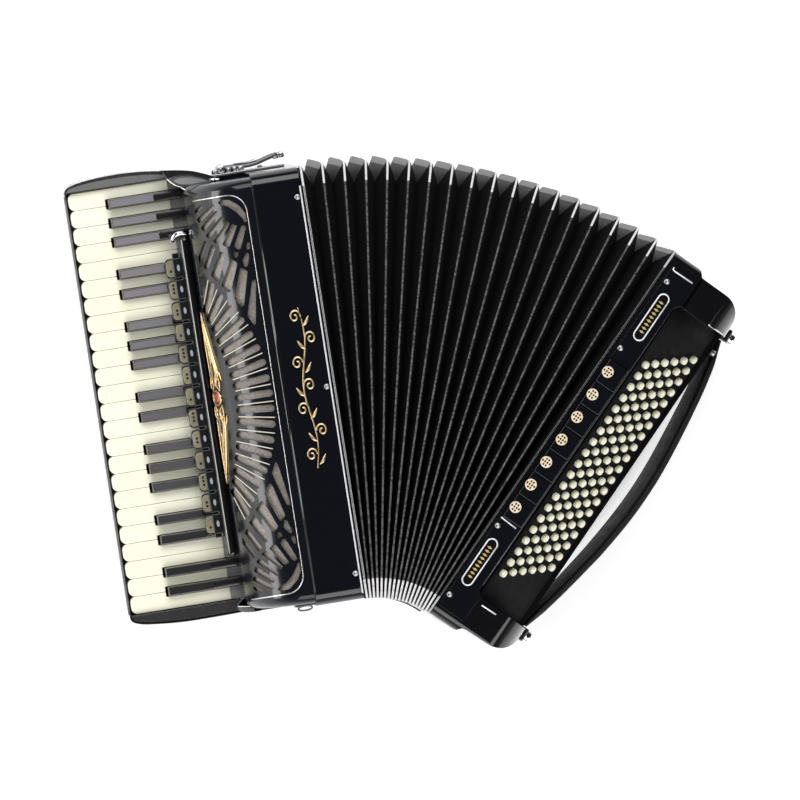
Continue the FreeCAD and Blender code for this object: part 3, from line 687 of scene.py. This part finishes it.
def white_key(n):
    hi, lo = KEY_TOP - PITCH_WHITE * n - 0.22, KEY_TOP - PITCH_WHITE * (n + 1) + 0.22
    front, neck, tail, r, room = -193.2, -152.2, -64, 6.5, 5.7
    below = ORDER[n % 7] in SHIFT and n < 23
    above_too = n and ORDER[(n - 1) % 7] in SHIFT
    edge_lo = sharp_y(n) + room if below else lo
    edge_hi = sharp_y(n - 1) - room if above_too else hi
    loop = arc(front + r, lo + r, r, 180, 270, 8)
    if below:
        loop += [(neck, lo), (neck, edge_lo)]
    loop += [(BEND, edge_lo), (BEND, edge_hi)]
    if above_too:
        loop += [(neck, edge_hi), (neck, hi)]
    loop += arc(front + r, hi - r, r, 90, 180, 8)
    end = rect(BEND, edge_lo, tail, edge_hi)
    return prism_parts(loop, KEY_FOOT, 60), prism_parts(end, KEY_FOOT, 59.6)


def keys():
    for note in ORDER:
        name = note.lower()
        both = [white_key(n) for n in range(24) if ORDER[n % 7] == note]
        shown = many("white_keys_%s_shown" % name, [k for k, _ in both], IVORY, bevel=0.9, segments=3)
        on(shown, "keys_" + name, "white_keys_" + name)
        on(many("white_key_tails_" + name, [k for _, k in both], SHADED_TAIL, bevel=0.5), "keys_" + name)
    parts, tops = [], []
    for n in range(23):
        if ORDER[n % 7] not in SHIFT:
            continue
        y = sharp_y(n)
        verts = []
        for x0, x1, h, z in ((-150, -64, 5.3, KEY_FOOT), (-150, -64, 5.3, 62), (-149.6, -65, 5.0, 68),
                             (-148.9, -66, 4.4, 69.8), (-148.4, -66, 4.0, 70.0)):
            verts += [(a, b, z) for a, b in rect(x0, y - h, x1, y + h)]
        parts.append((verts, stacked(4, 5)))
        tops.append(prism_parts(rect(-148.2, y - 3.8, -98.6, y + 3.8), 69.9, 70.06))
    on(many("black_keys_shown", parts, PIANO_BLACK, bevel=0.3), "black_keys", "black_keys", slot="key_black")
    # thin plates on the black keys carry the painted reflection
    on(many("black_key_reflection_plates", tops, painted_key_reflection(), smooth=False), "black_keys", slot="key_black")


def rise(x, y, lift=0.0):
    """A point of the sloping wing seen at (x, y) of the front plane."""
    z = 100.0
    for _ in range(4):
        z = 100 + (x + LOOK.x * (z - FRONT) / LOOK.z + 81) * 0.7
    return x + LOOK.x * (z - FRONT) / LOOK.z, y + LOOK.y * (z - FRONT) / LOOK.z, z + lift


def keyboard_body():
    on(block("keyboard_bed", (-197, -230.6, 12), (-60, 250.6, 33), PIANO_BLACK, bevel=1.5),
       "treble", "keyboard_frame")
    on(block("keyboard_front", (-197.4, -232, 13), (-194.6, 252, 48.5), LACQUER, bevel=1.0), "treble")
    # the rim is painted grey as sheen
    on(block("keyboard_rim", (-197.2, -231, 48.2), (-194.8, 251, 50), SHEEN_GREY, bevel=0.6), "treble")
    foot, top = 12, 65.5
    outer = smooth_line([(-197.4, 247), (-196.2, 254), (-189, 258.8), (-168.5, 262.4), (-138.5, 264.0),
                         (-108.5, 262.8), (-78.5, 258.6), (-52, 252.4), (-31, 245.6)])
    loop = [(-59.6, 245.5), (-59.6, 250.6), (-194, 250.6)] + outer
    on(prism("keyboard_cheek_top", loop[::-1], foot, top, CHEEK, bevel=2.0, segments=4, angle=50), "treble")
    inner = smooth_line([(-194.8, 251.6), (-192, 254.8), (-187, 256.2), (-168, 258.9), (-138.5, 259.9),
                         (-108.5, 258.8), (-78.5, 254.6), (-66, 251.4)])
    # the top cheek's plate is painted grey as sheen
    on(prism("cheek_sheen_plate_top", inner[::-1], top - 0.5, top + 0.3, SHEEN_GREY, bevel=0.25), "treble")
    outer = smooth_line([(-197.4, -229), (-196, -236), (-190, -240.2), (-175, -243.4), (-138.5, -246.4),
                         (-98.5, -246.4), (-60, -245.6)])
    loop = outer + [(-60, -230.6), (-194, -230.6)]
    on(prism("keyboard_cheek_low", loop, foot, top, LACQUER, bevel=2.6, segments=5, angle=50), "treble")
    inner = smooth_line([(-194.6, -231.8), (-193, -235.6), (-188, -237.8), (-174, -240.6), (-138.5, -243.4),
                         (-98.5, -243.4), (-64, -242.4)])
    on(prism("cheek_inset_low", inner + [(-66, -231.8)], top - 0.5, top + 0.3, CHEEK, bevel=0.25), "treble")
    # wings that rise from the cheeks along the grille, with an eye-shaped hollow
    outer = smooth_line([(-95, 266.5), (-75, 263.5), (-60, 260), (-45, 254), (-32, 247.5)])
    hollow = smooth_line([(-66, 231), (-67.5, 236), (-75, 243.5), (-84, 249), (-90, 256)])
    back = smooth_line([(-34, 243.5), (-50, 241.8), (-60, 239), (-66, 231)])
    wing = [rise(*q) for q in outer + back + hollow[1:]]
    verts, faces = prism_parts([q[:2] for q in wing], 60, 0)
    parts = [(verts[:len(wing)] + wing, faces)]
    on(many("cheek_wing_top", parts, LACQUER, smooth=False, bevel=1.2, segments=4, angle=50), "treble")
    # a silver line along the hollow's rim stands for its painted highlight
    on(tube("cheek_highlight_line_top", [rise(x, y, 0.5) for x, y in hollow], 0.65, SILVER, sides=8), "treble")
    eye = smooth_line([(-87, 255.3), (-78, 257), (-66, 255.9), (-52, 250.8), (-40, 246)])
    eye += smooth_line([(-44, 244.6), (-56, 243.6), (-68, 244.4), (-79, 247), (-86, 252.5)])
    loop = [rise(x, y, 0.4) for x, y in eye]
    on(tube("cheek_eye_rim", loop + loop[:1], 0.9, LACQUER, sides=8), "treble")
    cx, cy = -66, 249.6
    small = [rise(cx + (x - cx) * 0.8, cy + (y - cy) * 0.62, 0.55) for x, y in eye]
    # the eye's deep part is painted grey as sheen
    for name, ring, mat in (("cheek_eye", loop, LIT), ("cheek_eye_deep", small, SHEEN_GREY)):
        n = len(ring)
        mid = [sum(q[i] for q in ring) / n for i in range(3)]
        on(mesh(name, ring + [mid], [(i, (i + 1) % n, n) for i in range(n)], mat), "treble")
    glint = [rise(x, y, 0.8) for x, y in ((-42, 247.6), (-37, 246.6), (-32, 245.6))]
    on(tube("cheek_glint", glint, [1.2, 1.8, 1.2], CHROME), "treble")
    low = smooth_line([(-76.6, -237.6), (-68.6, -238.6), (-58.6, -239.6), (-50.6, -243.1)])
    wing = [(-62, -230.4), (-69.4, -230.4)] + low + [(-52, -246.2), (-60, -246.2), (-70, -245), (-77, -241)]
    # the lower wing is painted grey as sheen
    on(prism("cheek_wing_low", wing, 60, 92, SHEEN_GREY, bevel=1.2, segments=4, angle=50), "treble")
    # a silver line along the lower wing stands for its painted highlight
    on(tube("cheek_highlight_line_low", [(x, y + 0.4, 92.3) for x, y in low], 0.9, SILVER, sides=8), "treble")


# ---- switches and bar
def switches():
    rail = [(-88, 63), (-60.5, 63), (-60.5, 74), (-66, 78), (-80, 78), (-80, 73), (-88, 73)]
    on(prism("switch_rail_shown", rail, -158, 166, PIANO_BLACK, "y", bevel=0.8),
       "treble", "switch_rail", slot="key_black")
    plates, tops, painted_glints, marks, skirts = [], [], [], [], []
    half, r, foot, step = 11.2, 4.5, 75.2, 24.3
    for n in range(13):
        y = 4 + step * (n - 6)
        loop = arc(-93.5, y + half - r, r, 90, 180, 6) + arc(-93.5, y - half + r, r, 180, 270, 6)
        skirts.append(prism_parts(loop + [(-88.6, y - half), (-88.6, y + half)], foot, 83.4))
        loop = [(-93.2 + (a + 93.2) * 0.82, y + (b - y) * 0.84) for a, b in loop]
        plates.append(prism_parts(loop + [(-89, y - half + 1.8), (-89, y + half - 1.8)], 82, 84.2))
        tops.append(prism_parts(rect(-89.2, y - half, -79.4, y + half), foot, 86.2))
        # an oval on each switch top is a painted highlight
        painted_glints.append(prism_parts(oval(-83.8, y, 1.6, 20, 3.7), 86.1, 86.5))
        for k in range(1 + n % 3):
            marks.append(prism_parts(oval(-92.6, y - 3 + 4.2 * k, 1.3, 30, 1.5), 84.1, 84.35))
    on(many("switch_faces", plates, OLIVE, bevel=0.9, segments=3), "switches", "treble_switches",
       slot="black_lacquer")
    on(many("switch_skirts", skirts, PIANO_BLACK, bevel=0.8, segments=3), "switches")
    on(many("switch_tops", tops, PIANO_BLACK, bevel=1.0, segments=3), "switches")
    on(many("switch_painted_glints", painted_glints, PAINTED_GLINT, bevel=0.15), "switches")
    on(many("switch_marks", marks, PIANO_BLACK, smooth=False), "switches")
    profile = [(0.2, -1.8), (3.4, -1.2), (5.2, 0), (5.75, 2)]
    profile += [(r, 360 - h) for r, h in profile[::-1]]
    on(lathe("guard_bar_shown", profile, (-73, -178, 96), Y, LACQUER, sides=28),
       "treble", "guard_bar")
    posts = [lathe_parts([(2.5, 0), (2.5, 14)], (-73, y, 78.1), Z, 16) for y in (-170, -60, 60, 174)]
    hook = smooth_line([(-67, 184.5, 93), (-70.5, 187, 96), (-76.5, 188.4, 97), (-82.5, 186.6, 95),
                        (-85.8, 182.5, 90), (-86, 180, 78)])
    posts.append(tube_parts(hook, 3.0, 14))
    on(many("guard_bar_posts", posts, CHROME), "treble")


# ---- chin-end fittings
def brackets():
    y = HALF
    on(block("bracket_plate", (-32, y + 0.2, 84), (50, y + 3, 112), STEEL, bevel=0.7),
       "treble", "strap_bracket", slot="chrome")
    stud, head = [(2.6, 0), (3, 0.6), (3, 5.2), (2.4, 6)], [(3.2, 0), (3.2, 1.6), (1.5, 2.4), (0.2, 2.6)]
    ear = [(4.6, 0), (5.2, 0.5), (5.2, 2.4), (4.6, 3)]
    parts = [lathe_parts(stud, (-27 + 7.2 * k, y + 2.6, 106 - 4 * (k % 2)), Y, 14) for k in range(5)]
    parts += [lathe_parts(head, (x, y + 3, 90), Y, 14) for x in (-14, 2, 24)]
    parts += [lathe_parts(ear, (-21, y + 8, z), Z, 20) for z in (88, 105)]
    on(many("bracket_fittings", parts, STEEL), "treble", slot="chrome")
    on(block("bracket_base", (-31, y + 2.9, 86), (-4, y + 7.4, 97), PIANO_BLACK, bevel=0.8),
       "treble", slot="chrome")
    z = 98  # height of the lever
    arm = ((-23, 8), (-8, 8.2), (8, 7.6), (20, 8.8), (32, 12), (44, 15))
    line = smooth_line([(x, y + out, z) for x, out in arm])
    on(tube("lever_arm", line, 2.9, DARK_STEEL, sides=12, flat=1.7), "lever", "strap_lever")
    profile = [(0.2, -7), (3.4, -6.6), (4.3, -5), (4.3, -0.6), (2.6, 0)]
    profile += [(r, -h) for r, h in profile[3::-1]]
    on(lathe("lever_knob", profile, (45.5, y + 13.9, z), (1, 0.1, 0), CHROME, sides=18), "lever")
    line = smooth_line([(x, y + out, z) for x, out in ((-6, 12.4), (4, 11.6), (14, 12.6), (20, 14.4))], 5)
    on(tube("lever_tongue", line, 1.0, CHROME, sides=8, flat=5), "lever")
    on(lathe("lever_pin", [(1.7, 0), (1.7, 24)], (-21, y + 8, 86), Z, STEEL, sides=14), "lever")
    on(block("low_bracket", (-14, -y - 2.8, 84), (10, -y - 0.1, 112), DARK_STEEL, bevel=0.7),
       "treble", "low_strap_bracket")
    turns = [pi * 2 * k / 24 for k in range(25)]
    ring = [(-2 + 8 * cos(a), -y - 5.6 - 2.6 * sin(a), z) for a in turns]
    on(tube("low_ring", ring, 1.0, DARK_STEEL, sides=8), "treble")


# ---- bellows
def ring_parts(outer, inner, x0, x1):
    """A flat ring standing across local X, between two outlines of (y, z)."""
    verts = []
    for level, loop in ((x0, outer), (x1, outer), (x1, inner), (x0, inner)):
        verts += [(level, a, b) for a, b in loop]
    return verts, [tuple(v % len(verts) for v in f) for f in stacked(len(outer), 5, False)]


def fold_outline(inset, r=2.0, per=10):
    """Outline of a fold as (y, z), the long sides cut into short runs."""
    y, z0, z1 = REACH - inset, 1 + inset, 199 - inset
    corners = [(-y + r, z0 + r, 180), (y - r, z0 + r, 270), (y - r, z1 - r, 0), (-y + r, z1 - r, 90)]
    out = []
    for k, (cy, cz, a) in enumerate(corners):
        out += arc(cy, cz, r, a, a + 90, 4)
        ny, nz, b = corners[(k + 1) % 4]
        end = (ny + r * cos(radians(b)), nz + r * sin(radians(b)))
        start = out[-1]
        out += [between(start, end, i / per) for i in range(1, per)]
    return out


def cap_parts(sy, sz, half=1.15, thick=1.3):
    """Bright edging over one corner of a fold, along both edges."""
    y, z = (REACH + 0.15) * sy, 100 + 99.15 * sz
    dy, dz = -sy, -sz
    loop = [(y, z + 22 * dz), (y, z), (y + 23 * dy, z), (y + 23 * dy, z + thick * dz),
            (y + thick * dy, z + thick * dz), (y + thick * dy, z + 22 * dz)]
    return prism_parts(loop, -half, half, "x")


def blended(o, n, node):
    """Cloth between two folds, baked in place at rest; the first one hides the CAD node."""
    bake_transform(o)
    if n == 0:
        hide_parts(node)


def bellows():
    outer, inner = fold_outline(0), fold_outline(4.5)
    for n in range(FOLDS + 2):
        place, who = stand(n), BODIES[n]
        if 0 < n <= FOLDS:
            node, x0, x1, mat = who, -1.0, 1.0, RIDGE
        else:
            node, mat = who + "_bellows_frame", LACQUER
            x0, x1 = (-1.2, 1.6) if n else (-1.6, 1.2)
        ridge = many("bellows_edge_%02d" % n, [ring_parts(outer, inner, x0, x1)], mat, place)
        on(ridge, who, node, slot="bellows_card")
        if mat is LACQUER:
            rims = [ring_parts(fold_outline(-0.2), fold_outline(0.9), x, x + 0.5) for x in (-0.5, 0.8)]
            on(many("bellows_frame_line_%02d" % n, rims, DARK_STEEL if n else PLATE, place), who)
        caps = [cap_parts(sy, sz) for sy in (1, -1) for sz in (1, -1)]
        on(many("bellows_caps_%02d" % n, caps, PLATE, place, bevel=0.25), who)
    leg = 28.0  # from a fold's edge to the valley beside it
    rows = (0.0, 0.13, 0.5, 0.87, 1.0)
    for n in range(FOLDS + 1):
        a, b = stand(n), stand(n + 1)
        edge = 0.95 if n else 1.1
        verts, weights = [], [w for w in rows for _ in outer]
        for w in rows:
            for y, z in outer:
                gap = PITCH + (y + REACH) * radians(TURN)
                depth = sqrt(max(leg ** 2 - (gap / 2) ** 2, 1))
                deep = (0, y * (1 - depth / REACH), 100 + (z - 100) * (1 - depth / 99))
                valley = (spot(a, *deep) + spot(b, *deep)) / 2
                if w < 0.5:
                    p = spot(a, edge, y, z).lerp(valley, 2 * w)
                else:
                    p = valley.lerp(spot(b, -edge, y, z), 2 * w - 1)
                verts.append(p / M)
        per = len(outer)
        skin = mesh("bellows_skin_%02d" % (n + 1), verts, stacked(per, 5, False), BELLOWS, smooth=False)
        # painted sheen: grey cloth at the chin and foot ends, next to the edges, where the light falls on its
        # top
        skin.data.materials.append(SHEEN_CLOTH)
        for k, f in enumerate(skin.data.polygons):
            f.material_index = int(k // per in (0, 3) and abs(outer[k % per][0]) > REACH - 1)
        blended(skin, n, "bellows_skin")
        # the strap under the foot
        verts = [spot(m, 0, y, z) / M for m in (a, b) for y in (-247.3, -249) for z in (86, 114)]
        weights = [0.0] * 4 + [1.0] * 4
        faces = [(0, 1, 3, 2), (4, 6, 7, 5), (0, 2, 6, 4), (1, 5, 7, 3), (0, 4, 5, 1), (2, 3, 7, 6)]
        strip = mesh("bellows_strap_%02d" % (n + 1), verts, faces, LEATHER, smooth=False)
        blended(strip, n, "bellows_strap")


# ---- bass side
DECK = 200.5  # top of the deck plates
# The slope that carries the buttons: its angle and its upper edge.
LIE = atan2(84.0, 64.0)
SLOPE_X, SLOPE_Z = 34, 192


def bass_body():
    plan = [(2.2, -245), (34, -245), (37.5, -243.6), (41.5, -238.4), (46, -237.4)]
    plan += arc(74, -205, 32, -90, 0, 14) + arc(74, 205, 32, 0, 90, 14)
    plan += [(x, -y) for x, y in plan[4::-1]]
    body = prism("bass_shell", plan, 8, 200, BASS_LACQUER)
    side = [(0, 8), (102, 8), (106, 12)] + arc(74, 138, 32, 0, 90, 18, ry=62) + [(0, 200)]
    cut(body, tool(side, -260, 260, "y"), "INTERSECT")
    ends = [(-245, 8), (245, 8)] + arc(232, 187, 13, 0, 90, 10) + arc(-232, 187, 13, 90, 180, 10)
    cut(body, tool(ends, -5, 130, "x"), "INTERSECT")
    slope = [(33.3, 201), (33.3, 193), (34.3, 191.6), (98, 108), (110, 108), (110, 201)]
    wedge = tool(slope, -198.5, 198.3, "y")
    plan = arc(45.3, 186.3, 12, 180, 90) + [(112, 198.3), (112, -198.5)] + arc(43.3, -188.5, 10, 270, 180)
    cut(wedge, tool(plan, 90, 210), "INTERSECT")
    cut(body, wedge)
    cut(body, tool(rect(41.5, 199, 44.5, 246), 190, 201))
    # seats of the button board, the switch tiles and the air button
    c, s = cos(LIE), sin(LIE)
    seat = rect(7, -4, 98.6, 0.5)[::-1]
    seat = [(SLOPE_X + u * c + w * s, SLOPE_Z - u * s + w * c) for u, w in seat]
    cut(body, tool(seat, -169, 166, "y"))
    cut(body, tool(rect(6.4, -109.6, 32.3, 105.0), 196.8, 201))
    cut(body, tool(oval(178, 102.6, 3.9, 15), 101.5, 114, "x"))
    body.data.transform(BASS)
    even(body, 32)
    on(body, "bass", "bass_casing")
    # deck plates
    plate = [(6.8, 105.6), (33.6, 105.6), (33.9, 184)] + arc(45.6, 187, 11.6, 180, 112, 6)
    plate += [(41, 199.5), (41, 227), (38, 229.5), (6.8, 229.5)]
    on(prism("deck_plate_top", plate, 199.4, DECK, NAVY, place=BASS, bevel=0.3), "bass")
    plate = [(5.2, -112.4), (5.2, -231.5), (37.4, -231.5), (38.4, -205)] + arc(43.6, -190, 11.6, 250, 180, 6)
    plate += [(31.9, -112.4)]
    on(prism("deck_plate_low", plate, 199.4, DECK, NAVY, place=BASS, bevel=0.3), "bass")
    rods = []
    for path in ([(9, 229.8), (9.4, 227.2), (11.5, 226.4), (36.3, 226.6)], [(6.8, -110.9), (27.8, -112.1)],
                 [(77.6, 198.6), (98.2, 198.8)], [(44.8, -204.9), (63.8, -204.4)]):
        rods.append(tube_parts([(x, y, DECK if x < 70 and y != 198.6 else 199.3 - max(0, x - 76) ** 2 / 40)
                                for x, y in path], 0.9, 10))
    on(many("bass_lines", rods, PLATE, BASS), "bass")
    edge = [(x, y, 199.9) for x, y in ((33.8, 184), (33.5, 100), (33.2, 0), (33.0, -110), (33.0, -186))]
    on(tube("bass_deck_edge", edge, 0.6, LIT, BASS, sides=8), "bass")


def bass_pieces():
    tiles, emblems, dots = [], [], []
    half, step, x, high = 14.9, 30.6, 13.2, 205.5
    for n in range(7):
        y = -2.2 + step * (3 - n)
        tiles.append(prism_parts(rect(7, y - half, 31.9, y + half), 200.6, high + 0.1))
        y += 1.2
        emblems.append(prism_parts(oval(x, y, 6.6, 12), high, high + 0.5))
        for i in (-3, -1, 1, 3):
            for j in (0,) if abs(i) == 3 else (-2, 0, 2):
                hole = oval(x + 1.55 * i, y + 1.75 * j, 1.05, 30, 1.25)
                dots.append(prism_parts(hole, high + 0.45, high + 0.65))
    on(many("bass_switch_tiles", tiles, NAVY, BASS, bevel=1.1, segments=4), "bass_switches", "bass_switches")
    on(many("bass_switch_emblems", emblems, CREAM_GOLD, BASS, bevel=0.15), "bass_switches")
    on(many("bass_switch_dots", dots, PIANO_BLACK, BASS, smooth=False), "bass_switches")
    pills, beds, marks = [], [], []
    for x, y in ((19.5, 169), (15.4, -166)):
        line = arc(x, y + 24, 6.2, 0, 180, 14) + arc(x, y - 24, 6.2, 180, 360, 14)
        pills.append(tube_parts([(a, b, 200.9) for a, b in line + line[:1]], 0.85, 10))
        beds.append(prism_parts(line, 200.3, 200.9))
        for k in range(9):
            c = y + 4.9 * (k - 4)
            marks.append(prism_parts([(x - 3.4, c), (x, c + 1.5), (x + 3.4, c), (x, c - 1.5)], 200.85, 201.2))
    on(many("nameplate_rims", pills, PLATE, BASS), "bass", "nameplates")
    on(many("nameplate_beds", beds, BOARD, BASS, smooth=False), "bass")
    on(many("nameplate_marks", marks, GILT, BASS, smooth=False), "bass")
    screws = [screw(x, y, 200.3) for x, y in ((11.5, 212), (10.4, 121), (8.9, -121), (7.9, -215))]
    on(many("bass_screw_heads", screws, STEEL, BASS), "bass", "bass_screws")


# The button board's place, and the buttons row by row.
SLOPE = BASS @ Matrix.Translation((SLOPE_X * M, 0, SLOPE_Z * M)) @ Matrix.Rotation(LIE, 4, "Y")
SPOTS = [(row, 13.2 + 15.7 * row, 121.7 - 14.9 * column + 7.43 * row)
         for row in range(6) for column in range(20)]


def buttons():
    dome = [(4.5, 0.2), (4.5, 6.4), (4.25, 7.3), (3.6, 7.95), (2.6, 8.3), (1.2, 8.4), (0.1, 8.4)]
    for name, rows in (("bass_note_buttons", (0, 1)), ("chord_buttons", (2, 3, 4, 5))):
        parts = [lathe_parts(dome, (x, y, 0), Z, 20) for row, x, y in SPOTS if row in rows]
        on(many(name + "_shown", parts, CREAM, SLOPE), name, name)
    board = block("button_board", (0.5, -198.2, 0.2), (104.4, 198, 3.2), BOARD, bevel=0.4)
    holes = [prism_parts(oval(x, y, 4.85, 15), -1, 5) for _, x, y in SPOTS]
    cut(board, many("tool", holes, BOARD, smooth=False))
    board.data.transform(SLOPE)
    even(board)
    on(board, "bass", "bass_button_board")


def strap():
    """Padded hand strap: a bowed band that leans outward at its upper edge."""
    def half(y):
        return 32 if abs(y) > 190 else min(39, 32 + (190 - abs(y)) * 0.35)

    def thick(y):
        return min(1.0, 0.45 + (196 - abs(y)) * 0.02)

    mid = 59  # height of the strap's middle line
    spots = [(195, 109.5, 0.3), (185, 111.5, 0.6), (155, 117.4, 2), (125, 122.4, 2.8), (75, 129, 3.4),
             (35, 133, 3.5), (0, 134.3, 3.5), (-35, 133.2, 3.5), (-75, 129.4, 3.3), (-95, 126.6, 3),
             (-135, 120, 2.4), (-165, 114.6, 1.5), (-185, 111.2, 0.8), (-195, 109.6, 0.3)]
    line = smooth_line(spots, 6)
    section = []
    for a in range(0, 360, 12):
        c, s = cos(radians(a)), sin(radians(a))
        section.append((4 * copysign(abs(c) ** 0.3, c), copysign(abs(s) ** 0.3, s)))
    verts = [(x + a * thick(y) + lean * b, y, mid + half(y) * b) for y, x, lean in line for a, b in section]
    on(mesh("hand_strap", verts, stacked(len(section), len(line)), LEATHER, BASS), "bass", "bass_strap")
    seams = []
    for side in (1, -1):
        for out in (1, -1):
            path = [(x + out * 3.6 * thick(y) + lean * side * 0.8, y, mid + side * 0.8 * half(y))
                    for y, x, lean in line[3:-3]]
            seams.append(tube_parts(path, 0.5, 6))
    on(many("hand_strap_seams", seams, SEAM, BASS), "bass")
    blocks = [prism_parts(rect(106.2, y - 7.8, 116.5, y + 7.8), 50.2, 89.8) for y in (204, -204)]
    on(many("strap_block_bodies", blocks, PIANO_BLACK, BASS, bevel=1.6, segments=4), "bass", "strap_blocks")
    knurl = [(0.3, 0), (5.2, 0), (7.2, 0.8), (7.4, 1.6), (6.7, 2.1), (7.4, 2.6), (6.7, 3.1), (7.4, 3.6),
             (6.7, 4.1), (7.4, 4.6), (6.7, 5.1), (7.2, 5.8), (5.6, 6.9), (2.6, 7.0), (2.2, 6.4), (0.3, 6.4)]
    on(lathe("strap_wheel_low", knurl, (116.9, -203.5, 70), X, CHROME, BASS, 32), "bass")
    on(lathe("strap_wheel_shown", knurl, (117.3, 203.5, 70), X, CHROME, BASS, 32),
       "wheel", "strap_wheel")
    head = [(3.4, 0), (3.4, 0.8), (2.4, 1.6), (0.2, 1.8)]
    on(lathe("strap_rivet", head, (112.6, 186, 72), (1, 0.12, 0), STEEL, BASS, 18), "bass")
    cap = [(3.5, -0.8), (3.5, 5.4), (3.2, 5.8), (2.4, 6), (0.2, 6)]
    on(lathe("air_button_cap", cap, (106.1, 178, 102.6), X, STEEL, BASS, 28),
       "air_button", "air_button")


# ---- CAD pieces shown as they are
def carried():
    """Materials for the nodes that stay as drawn."""
    looks = {"treble_soundboard": WOOD, "treble_reed_blocks": ALU, "key_axle": STEEL,
             "bass_reed_blocks": ALU, "bass_mechanism": STEEL, "bass_back_cover": PIANO_BLACK}
    for name, mat in looks.items():
        NODES[name].data.materials.clear()
        NODES[name].data.materials.append(mat)


def studio():
    paint = flecked("floor", (0.93, 0.93, 0.93), 0.6, 8, 0.55, 0.65)
    wide = 9000
    floor = mesh("floor", [(x, y, 0) for x, y in rect(-wide, -wide, wide, wide)], [(0, 1, 2, 3)], paint,
                 smooth=False)
    floor.location.z = -0.0008
    glow = shader(paint)[1]
    glow.inputs["Emission Color"].default_value = (1, 1, 1, 1)
    glow.inputs["Emission Strength"].default_value = 0.42
    world = bpy.data.worlds.new("studio")
    scene.world = world
    world.use_nodes = True
    # bright low walls and a dark ceiling, so that flat lacquer stays black
    t = world.node_tree
    back = t.nodes["Background"]
    back.inputs["Color"].default_value = (1, 1, 1, 1)
    s, height = add(t, "SeparateXYZ"), spread(t, 0.10, 0.50, 0.55, 0.05)
    height.interpolation_type = "SMOOTHSTEP"
    link(t, add(t, "TexCoord"), "Generated", s, "Vector")
    link(t, s, "Z", height, "Value")
    # and one side of the room is darker than the other
    across, fade, both = add(t, "Math"), spread(t, -1.2, 1.2, 1.3, 0.2), add(t, "Math")
    link(t, s, "X", across, 0)
    link(t, s, "Y", across, 1)
    link(t, across, "Value", fade, "Value")
    both.operation = "MULTIPLY"
    link(t, height, "Result", both, 0)
    link(t, fade, "Result", both, 1)
    link(t, both, "Value", back, "Strength")
    lights = [
        ("key", (0.0, 2.4, 2.7), (0.1, 0.0, 0.1), (4.4, 2.4), 128),
        ("fill", (0.2, -2.5, 2.7), (0.1, 0.0, 0.1), (4.4, 2.4), 108),
        ("strip", (-2.6, 0.2, 0.52), (-0.05, 0.0, 0.17), (2.2, 0.75), 42),
    ]
    for name, at, to, spans, power in lights:
        data = bpy.data.lights.new(name, "AREA")
        data.shape = "RECTANGLE"
        data.size, data.size_y = spans
        data.energy = power
        lamp = put(name, data)
        lamp.location = at
        lamp.rotation_euler = (Vector(to) - Vector(at)).to_track_quat("-Z", "Y").to_euler()
        lamp.visible_camera = False


def camera():
    data = bpy.data.cameras.new("view")
    far, wide = 20.0, 0.896
    data.sensor_width = 36
    data.lens = data.sensor_width * far / wide
    data.clip_start = 1.0
    data.clip_end = 100.0
    cam = put("view", data)
    up = Vector((0.153, 0.988, 0.0))
    up = (up - LOOK * up.dot(LOOK)).normalized()
    middle = Vector((0.1315, -0.0307, 0.2))
    turned = Matrix((up.cross(LOOK), up, LOOK)).transposed().to_4x4()
    cam.matrix_world = Matrix.Translation(middle + LOOK * far) @ turned
    scene.camera = cam
    scene.view_settings.view_transform = "Standard"


casing()
grille()
ornament()
front_details()
keyboard_body()
keys()
switches()
brackets()
bellows()
bass_body()
bass_pieces()
buttons()
strap()
carried()
studio()
camera()
